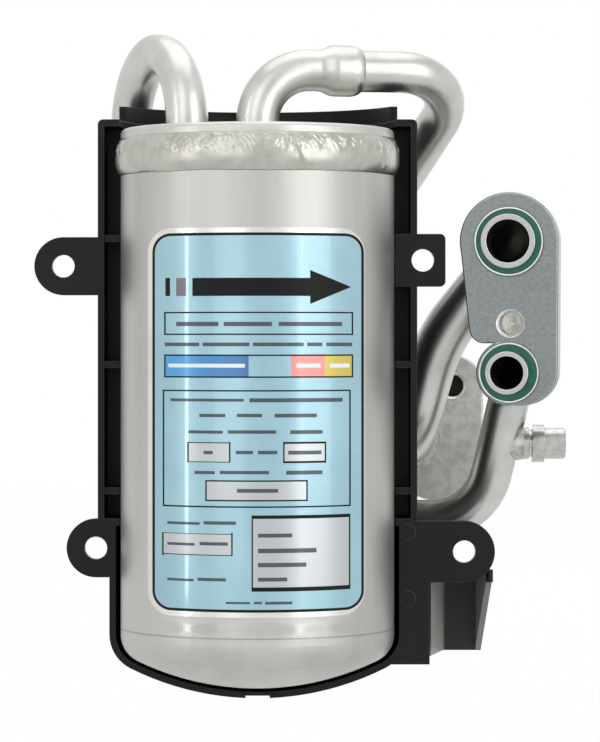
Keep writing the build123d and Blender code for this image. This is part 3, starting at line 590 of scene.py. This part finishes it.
# Plain bars that stand for lines of print: middle row, thickness, and each bar's two ends.
WORD_BARS = (
    (324.0, 4.2, ((176.8, 218.6), (224.0, 271.8), (278.6, 341.4))),
    (344.4, 3.6, ((165.5, 199.5), (203.0, 249.5), (253.0, 303.4), (307.0, 321.8), (326.0, 351.5))),
    (400.0, 3.4, ((171.0, 243.8), (249.5, 342.0))),
    (415.5, 3.4, ((199.8, 225.4), (237.0, 262.0), (274.5, 316.4))),
    (432.0, 3.4, ((189.0, 223.0), (228.0, 276.0), (290.0, 322.0))),
    (452.5, 3.4, ((204.0, 213.0), (236.0, 253.0), (258.0, 277.0), (288.0, 321.0))),
    (472.5, 3.4, ((195.0, 215.0), (220.0, 269.0), (286.0, 322.0))),
    (490.8, 3.8, ((237.0, 278.0),)),
    (523.0, 3.8, ((168.0, 200.0), (204.0, 236.0))),
    (543.8, 3.8, ((168.0, 195.0), (200.0, 228.0))),
    (579.5, 3.8, ((168.0, 194.0), (198.0, 226.0))),
    (535.5, 3.6, ((258.0, 292.0),)),
    (550.5, 3.6, ((258.0, 316.0),)),
    (564.8, 3.6, ((258.0, 306.0),)),
    (579.5, 3.6, ((258.0, 287.0),)),
    (603.0, 2.4, ((226.0, 250.0), (254.0, 262.0), (265.0, 292.0))),
)

# White bars on the colour fields, in the same form.
WHITE_BARS = ((365.6, 4.0, ((169.0, 245.0), (296.0, 320.0), (329.0, 348.6))),)


@dataclass(frozen=True)
class Shape:
    """One flat shape of the print."""

    outline: list[tuple[float, float]]     # (x, z) corners, anticlockwise, convex along Z
    layer: int                             # which ink layer it lies in
    ink: Print


def rectangle(box: tuple[float, ...], layer: int, ink: Print) -> Shape:
    """Gives a rectangle of the drawing.

    Args:
        box: Left and right column, top and bottom row.
        layer: Its ink layer.
        ink: Its ink.

    Returns:
        The shape on the film.
    """
    x0, x1, y0, y1 = box
    (left, top), (right, low) = GRID.place(x0, y0), GRID.place(x1, y1)
    return Shape([(left, low), (right, low), (right, top), (left, top)], layer, ink)


@dataclass
class RatingLabel:
    """The print of the wrapped film, each of its shapes a thin closed patch."""

    film_top: float = 0.25         # outer face of the film over the can
    bite: float = 0.05             # how far each patch sinks into what it lies on
    ink_step: float = 0.03         # each ink layer stands this much prouder
    frame_half: float = 38.0       # half width of the black outline, along X
    frame_low: float = 31.9
    frame_high: float = 167.3
    frame_corner: float = 6.7
    frame_line: float = 1.0
    frame_shift: float = 0.7       # the print sits a little to the right of the film
    rule_line: float = 1.4         # thickness of a ruled line, in drawing units
    corner_step: int = 10          # degrees between the points of a rounded corner
    cut_step: float = 1.5          # degrees between the cuts that let a patch follow the can

    def wrap(self, x: float, z: float, radius: float) -> Vector:
        """Places a flat point of the label on the can.

        Args:
            x: Distance in X from the receiver's axis.
            z: Height over the receiver's foot.
            radius: Distance from the axis.

        Returns:
            The point in the frame, in metres.
        """
        angle = math.asin(x / CAN_RADIUS)
        return AXIS + Vector((radius * math.sin(angle), -radius * math.cos(angle), z)) * MM

    def patch(self, bm: bmesh.types.BMesh, shape: Shape) -> None:
        """Adds one shape as a closed patch.

        Args:
            bm: The mesh that gets it.
            shape: The flat shape.
        """
        low = CAN_RADIUS + self.film_top - self.bite + shape.layer * self.ink_step
        high = low + self.bite + self.ink_step
        flat = bmesh.new()
        flat.faces.new([flat.verts.new((x, 0.0, z)) for x, z in shape.outline])
        left, right = (pick(x for x, _ in shape.outline) for pick in (min, max))
        step = math.radians(self.cut_step) * CAN_RADIUS
        cut = math.ceil(left / step) * step
        while cut < right:
            bmesh.ops.bisect_plane(flat, geom=flat.verts[:] + flat.edges[:] + flat.faces[:],
                                   plane_co=(cut, 0, 0), plane_no=(1, 0, 0))
            cut += step
        flat.verts.index_update()
        outer, inner = ([bm.verts.new(self.wrap(v.co.x, v.co.z, radius)) for v in flat.verts]
                        for radius in (high, low))
        walls = []
        for face in flat.faces:
            walls += [[side[v.index] for v in face.verts] for side in (outer, inner)]
        for edge in flat.edges:
            if edge.is_boundary:
                a, b = (v.index for v in edge.verts)
                walls.append([outer[a], outer[b], inner[b], inner[a]])
        for corners in walls:
            bm.faces.new(corners).material_index = shape.ink.value
        flat.free()

    def framed(self, inset: float, layer: int, ink: Print) -> Shape:
        """Gives the rounded field of the whole label.

        Args:
            inset: How far it lies inside the black outline.
            layer: Its ink layer.
            ink: Its ink.

        Returns:
            The shape.
        """
        corner = self.frame_corner - inset
        reach_x = self.frame_half - inset - corner
        low, high = self.frame_low + inset + corner, self.frame_high - inset - corner
        points = []
        for side, z, start in ((1, low, -90), (1, high, 0), (-1, high, 90), (-1, low, 180)):
            for turn in range(start, start + 91, self.corner_step):
                a = math.radians(turn)
                points.append((self.frame_shift + side * reach_x + corner * math.cos(a),
                               z + corner * math.sin(a)))
        return Shape(points, layer, ink)

    def ruled(self, box: tuple[float, ...]) -> list[Shape]:
        """Gives the four lines of a ruled box.

        Args:
            box: Left and right column, top and bottom row.

        Returns:
            The lines.
        """
        x0, x1, y0, y1 = box
        t = self.rule_line
        return [rectangle(line, 3, Print.BLACK)
                for line in ((x0, x1, y0, y0 + t), (x0, x1, y1 - t, y1), (x0, x0 + t, y0, y1),
                             (x1 - t, x1, y0, y1))]

    def shapes(self) -> list[Shape]:
        """Lists the print's shapes.

        Returns:
            The shapes, from the film outwards.
        """
        shapes = [self.framed(0.0, 0, Print.BLACK), self.framed(self.frame_line, 1, Print.BLUE)]
        shapes += [rectangle(box, 2, ink) for box, ink in PLAIN_FIELDS]
        shapes.append(Shape([GRID.place(*corner) for corner in ARROW_HEAD], 3, Print.BLACK))
        for box, ink in RULED_BOXES:
            if ink is not None:
                shapes.append(rectangle(box, 2, ink))
            shapes += self.ruled(box)
        for bars, ink in ((WORD_BARS, Print.BAR), (WHITE_BARS, Print.WHITE)):
            shapes += [rectangle((*span, middle - tall / 2, middle + tall / 2), 4, ink)
                       for middle, tall, spans in bars for span in spans]
        return shapes

    def build(self) -> None:
        """Builds the print and dresses the film under it."""
        bm = bmesh.new()
        for shape in self.shapes():
            self.patch(bm, shape)
        mesh = bpy.data.meshes.new("label_print")
        bmesh.ops.recalc_face_normals(bm, faces=bm.faces)
        bm.to_mesh(mesh)
        bm.free()
        add_piece("label_print", mesh, [INKS[i].make() for i in Print])
        dress(BARE_FILM.make(), "rating_label")


@dataclass
class WeldBead:
    """The arc weld round the cap's seam: a smooth roll under a rippled cover pass.

    Places across the bead run from -1 at its lower edge to 1 at its upper edge.
    """

    radius: float = CAN_RADIUS
    bulge: float = 2.6
    half_width: float = 6.9
    seam: float = 196.5
    sunk: float = 0.3              # how far the closed back lies inside the can
    steps_round: int = 900
    steps_across: int = 50         # rows of the closed section, four of them at its back
    fattest: float = -0.12         # the roll is fattest a little below the middle
    roll_power: float = 0.75       # under 1 makes the roll fuller than a parabola
    room: float = 0.6              # part of the bulge that is left to ripples and lumps
    sag: float = 0.8               # how far the seam wanders up and down
    noise_radius: float = 50.0     # size of the ring on which the noise is read
    noise_rise: float = 6.0
    # scale and detail of the slow, the lumpy and the patchy noise
    noises: tuple[tuple[float, float], ...] = ((0.06, 2.0), (0.30, 3.0), (0.13, 2.0))
    ripple_pitch: float = 1.8
    ripple_height: float = 0.24
    ripple_lean: float = 3.2       # how far a ripple leans over the bead's half width
    ripple_bend: float = 0.5       # how much it curves there
    ripple_power: float = 1.6      # over 1 makes narrow crests and wide valleys
    wander_turn: float = 30.0      # radians by which the noises shift the ripples
    lump_turn: float = 5.0
    pass_low: tuple[float, float] = (-0.15, 0.35)    # where the cover pass fades in
    pass_high: tuple[float, float] = (0.98, 0.80)    # and out again
    rippled: tuple[float, float] = (0.48, 0.58)      # share of noise that carries ripples
    lump_height: float = 1.3
    lump_base: float = 0.12        # lumps outside the cover pass
    lump_rows: int = 6             # rows over which the lumps rise from the bead's edge
    # angle from +X in radians, length round the can in radians, and height of each ledge
    ledges: tuple[tuple[float, float, float], ...] = ((-1.29, 0.30, 0.40), (-0.56, 0.46, 0.70))
    ledge_slant: float = -0.05     # radians by which a ledge leans over the bead's half width
    ledge_front: tuple[float, float] = (0.0, 0.12)   # where along its length a ledge rises
    ledge_tail: tuple[float, float] = (1.0, 0.1)     # and falls
    ledge_rows: int = 12           # rows over which it rises from the bead's edge
    weld_gap: float = 0.00006      # metres; rims nearer than this merge, which closes the ring

    def given(self) -> dict[str, float]:
        """Lists the tree's inputs.

        Returns:
            Input name to value.
        """
        return {"Radius": self.radius, "Bulge": self.bulge, "Half Width": self.half_width,
                "Seam": self.seam, "Sunk": self.sunk, "Pitch": self.ripple_pitch,
                "Ripple": self.ripple_height, "Lean": self.ripple_lean}

    def relief(self, tree: bpy.types.NodeTree, given: bpy.types.NodeOutputs,
               angle: bpy.types.NodeSocket, across: bpy.types.NodeSocket,
               from_end: bpy.types.NodeSocket,
               noises: list[bpy.types.NodeSocket]) -> bpy.types.NodeSocket:
        """Adds the nodes that work out how far the bead stands out of the can.

        Args:
            tree: The Geometry Nodes tree.
            given: Its inputs.
            angle: Angle round the can.
            across: Place across the bead.
            from_end: Share of the section from its nearer end.
            noises: The slow, lumpy and patchy noise.

        Returns:
            The height.
        """
        do, smooth = partial(maths, tree), partial(ramp, tree, kind="SMOOTHSTEP")
        add, less, times = (partial(do, kind) for kind in ("ADD", "SUBTRACT", "MULTIPLY"))
        row = 1.0 / self.steps_across
        wander, lump, patch = noises

        middle = less(across, times(less(1.0, times(across, across)), self.fattest))
        roll = do("POWER", do("MAXIMUM", less(1.0, times(middle, middle)), 0.0), self.roll_power)
        body = times(roll, less(given["Bulge"], self.room))

        bow = add(across, times(do("POWER", across, 2.0), self.ripple_bend))
        bent = add(times(angle, given["Radius"]), times(bow, given["Lean"]))
        phase = times(do("DIVIDE", bent, given["Pitch"]), 2 * math.pi)
        shifted = add(phase, add(times(wander, self.wander_turn), times(lump, self.lump_turn)))
        wave = do("POWER", times(add(do("SINE", shifted), 1.0), 0.5), self.ripple_power)
        cover = times(smooth(across, *self.pass_low), smooth(across, *self.pass_high))
        ribs = times(times(wave, given["Ripple"]), times(cover, smooth(patch, *self.rippled)))

        rise = times(smooth(from_end, 2 * row, self.lump_rows * row), self.lump_height)
        lumps = times(less(lump, 0.5), times(add(cover, self.lump_base), rise))
        height = add(add(body, ribs), lumps)
        for start, length, step in self.ledges:
            past = do("DIVIDE", less(less(angle, start), times(across, self.ledge_slant)), length)
            fade = times(smooth(past, *self.ledge_front), smooth(past, *self.ledge_tail))
            height = add(height, times(times(fade, step),
                                       smooth(from_end, 2 * row, self.ledge_rows * row)))
        return height

    def tree(self) -> bpy.types.NodeTree:
        """Builds the nodes that wrap a grid into the bead.

        Returns:
            The Geometry Nodes tree, with named inputs for its sizes.
        """
        tree = bpy.data.node_groups.new("weld_bead", "GeometryNodeTree")
        face = tree.interface
        face.new_socket("Geometry", in_out="OUTPUT", socket_type="NodeSocketGeometry")
        for name in self.given():
            face.new_socket(name, in_out="INPUT", socket_type="NodeSocketFloat")
        face.new_socket("Material", in_out="INPUT", socket_type="NodeSocketMaterial")
        given = add_node(tree, "NodeGroupInput").outputs
        do, line = partial(maths, tree), partial(ramp, tree)
        add, less, times = (partial(do, kind) for kind in ("ADD", "SUBTRACT", "MULTIPLY"))

        sheet = add_node(tree, "GeometryNodeMeshGrid",
                         {"Size X": 1.0, "Size Y": 1.0, "Vertices X": self.steps_round + 1,
                          "Vertices Y": self.steps_across + 1})
        place = add_node(tree, "ShaderNodeSeparateXYZ",
                         {0: add_node(tree, "GeometryNodeInputPosition").outputs[0]}).outputs
        angle = times(place["X"], 2 * math.pi)
        # the section: up the outside, and back down inside the can to close it
        row = 1.0 / self.steps_across
        along = add(place["Y"], 0.5)
        from_end = do("MINIMUM", along, less(1.0, along))
        across = times(line(along, 2 * row, 1 - 2 * row, -1.0, 1.0), line(from_end, 0.0, row))
        buried = times(line(from_end, row, 2 * row, 1.0, 0.0), given["Sunk"])

        unit = add_node(tree, "ShaderNodeCombineXYZ",
                        {0: do("COSINE", angle), 1: do("SINE", angle)}).outputs[0]
        ring = add_node(tree, "ShaderNodeVectorMath", {0: unit, "Scale": self.noise_radius},
                        operation="SCALE").outputs[0]
        lift = add_node(tree, "ShaderNodeCombineXYZ", {2: times(across, self.noise_rise)})
        where = vector_maths(tree, "ADD", ring, lift.outputs[0]).outputs[0]
        noises = [add_node(tree, "ShaderNodeTexNoise",
                           {"Vector": where, "Scale": scale, "Detail": detail}).outputs[0]
                  for scale, detail in self.noises]
        height = self.relief(tree, given, angle, across, from_end, noises)

        out = times(less(add(given["Radius"], height), buried), MM)
        sag = times(less(noises[0], 0.5), self.sag)
        up = times(add(add(given["Seam"], sag), times(across, given["Half Width"])), MM)
        at = add_node(tree, "ShaderNodeCombineXYZ",
                      {0: times(do("COSINE", angle), out), 1: times(do("SINE", angle), out), 2: up})
        moved = add_node(tree, "GeometryNodeSetPosition",
                         {"Geometry": sheet.outputs["Mesh"],
                          "Position": vector_maths(tree, "ADD", at.outputs[0], AXIS).outputs[0]})
        closed = add_node(tree, "GeometryNodeMergeByDistance",
                          {"Distance": self.weld_gap, "Geometry": moved.outputs[0]})
        whole = add_node(tree, "GeometryNodeRealizeInstances", {"Geometry": closed.outputs[0]})
        painted = add_node(tree, "GeometryNodeSetMaterial",
                           {"Geometry": whole.outputs[0], "Material": given["Material"]})
        add_node(tree, "NodeGroupOutput", {0: painted.outputs[0]})
        return tree

    def build(self) -> None:
        """Builds the bead and lets it stand for the plain band of the CAD model."""
        finish = WELDED_ALUMINIUM.make()
        mesh = run_tree("weld_bead_ripples", self.tree(), {**self.given(), "Material": finish})
        add_piece("weld_bead", mesh, [finish], ("cap_weld_bead",))


def run_tree(name: str, tree: bpy.types.NodeTree, values: dict[str, object]) -> bpy.types.Mesh:
    """Runs a Geometry Nodes tree once and keeps its result as a plain mesh.

    Args:
        name: The mesh's name.
        tree: The tree.
        values: Input name to value.

    Returns:
        The finished mesh with outward normals and smooth faces.
    """
    host = bpy.data.objects.new(name, bpy.data.meshes.new(name + "_host"))
    bpy.context.scene.collection.objects.link(host)
    step = host.modifiers.new(name, "NODES")
    step.node_group = tree
    for item in tree.interface.items_tree:
        if item.item_type == "SOCKET" and item.in_out == "INPUT" and item.name in values:
            step[item.identifier] = values[item.name]
    ready = host.evaluated_get(bpy.context.evaluated_depsgraph_get())
    mesh = bpy.data.meshes.new_from_object(ready)
    mesh.name = name
    host.modifiers.remove(step)
    bpy.data.objects.remove(host)
    bm = bmesh.new()
    bm.from_mesh(mesh)
    bmesh.ops.recalc_face_normals(bm, faces=bm.faces)
    for face in bm.faces:
        face.smooth = True
    bm.to_mesh(mesh)
    bm.free()
    return mesh


@dataclass
class Receiver:
    """The welded receiver with what it holds."""

    weld: WeldBead = field(default_factory=WeldBead)
    label: RatingLabel = field(default_factory=RatingLabel)
    reach: float = 60.0            # past the can's wall on every side
    band_low: float = 23.4         # burnished band above the knuckle
    band_high: float = 28.0
    band_half: float = 36.0        # half width of the band, along X
    band_blur: float = 1.6
    band_roughness: float = 0.18
    knuckle_shade_height: float = 22.4    # painted shade line where the knuckle turns, under the band
    knuckle_shade_half: float = 0.15
    knuckle_shade_blur: float = 0.25
    knuckle_shade_colour: str = "7A7A78"

    def can(self) -> bpy.types.Material:
        """Builds the drawn can's finish, with the burnished band and a painted shade line at the
        knuckle at its foot.

        Returns:
            The material.
        """
        mat = DRAWN_ALUMINIUM.make()
        tree = mat.node_tree
        inputs = tree.nodes["Principled BSDF"].inputs
        far, half = self.reach, self.band_half
        band = inside(tree, (-half, -far, self.band_low), (half, 0.0, self.band_high),
                      self.band_blur)
        knuckle_shade = inside(tree, (-far, -far, self.knuckle_shade_height - self.knuckle_shade_half),
                        (far, far, self.knuckle_shade_height + self.knuckle_shade_half), self.knuckle_shade_blur)
        lay_over(tree, inputs["Roughness"], band, grey(self.band_roughness))
        # paints a dark line of shade where the knuckle turns away
        lay_over(tree, inputs["Base Color"], knuckle_shade, linear(self.knuckle_shade_colour))
        return mat

    def build(self) -> None:
        """Dresses the can and builds its weld and label."""
        dress(self.can(), "receiver_shell")
        dress(TURNED_ALUMINIUM.make(), "receiver_cap")
        dress(ZINC_STEEL.make(), "receiver_studs", "receiver_nuts", "lower_screen", "upper_screen")
        dress(SPRING_WIRE.make(), "bed_spring")
        dress(FELT.make(), "lower_filter_pad", "upper_filter_pad")
        dress(DESICCANT.make(), "desiccant_bed")
        self.weld.build()
        self.label.build()


@dataclass
class Cradle:
    """The moulded bracket, with sheen painted as paler grey on the walls of its box-shaped leg."""

    # lowest and highest corner from the receiver's foot, and colour, of each wall with painted
    # sheen
    painted_sheen_walls: tuple[tuple[tuple[float, ...], tuple[float, ...], str], ...] = (
        ((63.5, 4.7, 10.0), (70.8, 26.8, 44.0), "8E8E8B"),
        ((82.4, 4.7, 10.0), (89.0, 26.8, 44.0), "787875"),
        ((70.8, 26.8, 10.0), (89.0, 30.0, 44.0), "2C2C2A"),
    )

    def build(self) -> None:
        """Dresses the bracket, with its painted sheen."""
        nylon = MOULDED_NYLON.make()
        tree = nylon.node_tree
        # paints the sheen of the leg's walls as paler grey
        for low, high, colour in self.painted_sheen_walls:
            lay_over(tree, tree.nodes["Principled BSDF"].inputs["Base Color"],
                     inside(tree, low, high), linear(colour))
        dress(nylon, "cradle_bracket")


@dataclass
class Lines:
    """The bent tubes and their brazed joints."""

    tubes: tuple[str, ...] = ("inlet_tube", "outlet_stub_tube", "outlet_tube", "suction_tube",
                              "liquid_tube", "pickup_tube")
    joints: tuple[str, ...] = ("inlet_cap_braze", "outlet_cap_braze", "inlet_union_braze",
                               "outlet_union_braze", "front_suction_braze", "front_liquid_braze",
                               "rear_suction_braze", "rear_liquid_braze", "service_port_braze")

    def build(self) -> None:
        """Dresses the tubes and joints."""
        dress(TUBE_ALUMINIUM.make(), *self.tubes)
        dress(BRAZE_ALLOY.make(), *self.joints)


@dataclass(frozen=True)
class MachinedBlock:
    """Tumbled block with the turned skin of its pilots and of its clamping hole, and painted
    highlights on their edges.
    """

    skin: Finish
    face: tuple[float, float, float]       # a point on the tumbled face, in metres
    outward: tuple[float, float, float]    # the face's normal
    hole: tuple[float, float, float]       # the clamping hole's mouth, in metres
    hole_radius: float = 5.25
    hole_blur: float = 0.1
    proud: tuple[float, float] = (0.25, 0.4)    # height over the face where turning starts
    bright: str = "A6A7A5"       # turned skin
    rim_highlight: str = "F2F2F0"          # painted highlight on the edges of the turned pilots
    rim_highlight_mm: float = 0.4
    tapped: str = "E9E9E5"       # freshly cut wall of the clamping hole
    bright_roughness: float = 0.24

    def make(self) -> bpy.types.Material:
        """Builds the block's material.

        Returns:
            The tumbled finish with bright turned pilots, hole and chamfer, and painted highlights
            on their edges.
        """
        mat = self.skin.make()
        tree = mat.node_tree
        inputs = tree.nodes["Principled BSDF"].inputs
        place = object_place(tree)
        from_face, from_hole = (vector_maths(tree, "SUBTRACT", place, spot).outputs[0]
                                for spot in (self.face, self.hole))
        height = vector_maths(tree, "DOT_PRODUCT", from_face, self.outward).outputs["Value"]
        pilots = ramp(tree, height, *(step * MM for step in self.proud))
        arm = vector_maths(tree, "CROSS_PRODUCT", from_hole, self.outward).outputs[0]
        away = vector_maths(tree, "LENGTH", arm).outputs["Value"]
        hole = ramp(tree, away, (self.hole_radius + self.hole_blur) * MM,
                    (self.hole_radius - self.hole_blur) * MM)
        turned = maths(tree, "MAXIMUM", pilots, hole)
        cut = mix(tree, hole, linear(self.bright), linear(self.tapped))
        # paints a highlight along the edges of the turned parts
        highlighted_rims = paint_edge_light_and_shade(tree, cut, rounded_normal(tree, self.rim_highlight_mm), self.rim_highlight)
        lay_over(tree, inputs["Base Color"], turned, highlighted_rims)
        lay_over(tree, inputs["Roughness"], turned, grey(self.bright_roughness))
        return mat


@dataclass
class Blocks:
    """The two port blocks with their seals."""

    front: MachinedBlock = MachinedBlock(
        TUMBLED_ALUMINIUM, face=(0.1657, -0.0045, 0.0092), outward=(-0.139173, -0.990268, 0.0),
        hole=(0.166195, -0.00457, -0.0213))
    rear: MachinedBlock = MachinedBlock(
        REAR_ALUMINIUM_LIGHTENED, face=(0.1306, 0.0895, -0.0670), outward=(0.0, 1.0, 0.0),
        hole=(0.1485, 0.0755, -0.0456))
    ports: tuple[str, ...] = ("front_suction", "front_liquid", "rear_suction", "rear_liquid")

    def build(self) -> None:
        """Dresses the blocks, seals and stud."""
        dress(self.front.make(), "front_block")
        dress(self.rear.make(), "rear_block")
        dress(GREEN_RUBBER.make(), *(f"{port}_seal" for port in self.ports))
        dress(ZINC_STEEL.make(), *(f"{port}_seal_ring" for port in self.ports))
        dress(BLACK_STEEL.make(), "rear_block_stud")


@dataclass
class ServicePort:
    """The charging port with its valve core."""

    travel: float = 1.6            # how far the pin is pushed in
    seam_gap: float = 0.002        # points of the coil nearer than this are one

    def spring(self) -> None:
        """Builds the core's spring from the CAD coil, with close points merged and smooth faces."""
        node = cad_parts["valve_core_spring"]
        bm = bmesh.new()
        bm.from_mesh(node.data)
        bmesh.ops.remove_doubles(bm, verts=bm.verts, dist=self.seam_gap * MM)
        for face in bm.faces:
            face.smooth = True
        mesh = bpy.data.meshes.new("core_spring_coil")
        bm.to_mesh(mesh)
        bm.free()
        coil = add_piece("core_spring_coil", mesh, [SPRING_WIRE.make()],
                         ("valve_core_spring",))
        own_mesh(coil)

    def build(self) -> None:
        """Dresses the port and its core."""
        dress(MACHINED_ALUMINIUM.make(), "service_port_body")
        dress(BRASS.make(), "valve_core_body", "valve_core_pin")
        self.spring()


@dataclass(frozen=True)
class Lamp:
    """A soft rectangular lamp."""

    name: str
    place: tuple[float, float, float]   # in metres
    size: tuple[float, float]           # width and height in metres
    watts: float

    def build(self, target: Vector) -> None:
        """Hangs the lamp.

        Args:
            target: The point that it faces.
        """
        data = bpy.data.lights.new(self.name, "AREA")
        data.shape = "RECTANGLE"
        data.size, data.size_y = self.size
        data.energy = self.watts
        lamp = bpy.data.objects.new(self.name, data)
        lamp.location = self.place
        lamp.rotation_euler = (target - Vector(self.place)).to_track_quat("-Z", "Y").to_euler()
        bpy.context.scene.collection.objects.link(lamp)


LAMPS = (
    Lamp("key_left", (-0.45, -1.35, 0.50), (0.7, 1.6), 3.2),
    Lamp("strip_left", (-1.03, -0.68, 0.0), (0.05, 1.5), 2.2),
    Lamp("strip_right", (0.84, -1.05, 0.0), (0.05, 1.5), 1.4),
    Lamp("fill_right", (1.10, -0.95, 0.25), (0.8, 1.5), 6.0),
    Lamp("top_soft", (0.09, 0.15, 1.25), (1.4, 1.2), 5.0),
    Lamp("rear_soft", (0.40, 1.35, 0.45), (1.3, 1.2), 4.0),
)


def showing_rays(tree: bpy.types.NodeTree) -> bpy.types.NodeSocket:
    """Marks the rays that show the backdrop: seen, mirrored or through glass.

    Args:
        tree: The material's or world's nodes.

    Returns:
        A socket that is 1 on those rays.
    """
    path = add_node(tree, "ShaderNodeLightPath").outputs
    rays = [path[f"Is {kind} Ray"] for kind in ("Camera", "Glossy", "Transmission")]
    return reduce(partial(maths, tree, "MAXIMUM"), rays)


@dataclass
class Studio:
    """A plain pale floor and backdrop, soft lamps and the camera."""

    aim: tuple[float, float, float] = (0.088, 0.0, -0.03)    # what the lamps face, in metres
    camera_place: tuple[float, float, float] = (0.0880, -1.2045, -0.0267)
    lens_mm: float = 156.6
    sensor_mm: float = 36.0
    shift_up: float = -0.0445
    floor_drop: float = 0.060      # metres of air under the object
    floor_half: float = 3.0        # metres
    floor_colour: str = "EDEDED"
    floor_roughness: float = 0.9
    floor_glow: float = 0.98       # how much of the floor seen is plain white
    sky_colour: str = "FFFFFF"
    sky_strength: float = 0.62     # light that the sky gives; seen, it is plain white

    def floor(self) -> None:
        """Lays the floor, white to the camera and in reflections."""
        z = cad_box[0][2] - self.floor_drop
        h = self.floor_half
        mesh = bpy.data.meshes.new("studio_floor")
        mesh.from_pydata([(-h, -h, z), (h, -h, z), (h, h, z), (-h, h, z)], [], [(0, 1, 2, 3)])
        mat, tree, paper = new_material("studio_white")
        paper.inputs["Base Color"].default_value = linear(self.floor_colour)
        paper.inputs["Roughness"].default_value = self.floor_roughness
        share = maths(tree, "MULTIPLY", showing_rays(tree), self.floor_glow)
        glow = add_node(tree, "ShaderNodeEmission", {"Strength": 1.0})
        whole = add_node(tree, "ShaderNodeMixShader",
                         {0: share, 1: paper.outputs[0], 2: glow.outputs[0]})
        tree.links.new(whole.outputs[0], tree.nodes["Material Output"].inputs["Surface"])
        mesh.materials.append(mat)
        floor = bpy.data.objects.new("studio_floor", mesh)
        bpy.context.scene.collection.objects.link(floor)

    def world(self) -> None:
        """Sets a soft sky that is white to the camera and in reflections."""
        world = bpy.data.worlds.new("studio_sky")
        world.use_nodes = True
        tree = world.node_tree
        tree.nodes.clear()
        soft, white = (add_node(tree, "ShaderNodeBackground",
                                {"Color": linear(self.sky_colour), "Strength": strength}).outputs[0]
                       for strength in (self.sky_strength, 1.0))
        whole = add_node(tree, "ShaderNodeMixShader", {0: showing_rays(tree), 1: soft, 2: white})
        add_node(tree, "ShaderNodeOutputWorld", {0: whole.outputs[0]})
        bpy.context.scene.world = world

    def camera(self) -> None:
        """Sets up the camera, level and facing +Y."""
        scene = bpy.context.scene
        data = bpy.data.cameras.new("front_camera")
        data.lens = self.lens_mm
        data.sensor_width = self.sensor_mm
        data.sensor_fit = "AUTO"
        data.shift_y = self.shift_up
        camera = bpy.data.objects.new("front_camera", data)
        camera.location = self.camera_place
        camera.rotation_euler = (math.radians(90), 0.0, 0.0)
        scene.collection.objects.link(camera)
        scene.camera = camera

    def build(self) -> None:
        """Builds the whole studio."""
        for lamp in LAMPS:
            lamp.build(Vector(self.aim))
        self.floor()
        self.world()
        self.camera()
        bpy.context.scene.view_settings.view_transform = "Standard"


def main() -> None:
    """Builds every sub-assembly in order, then the studio."""
    logging.basicConfig(level=logging.INFO, format="%(message)s")
    for part in (Receiver(), Cradle(), Lines(), Blocks(), ServicePort()):
        part.build()
        log.info("finished %s", type(part).__name__)
    Studio().build()


if __name__ == "__main__":
    main()
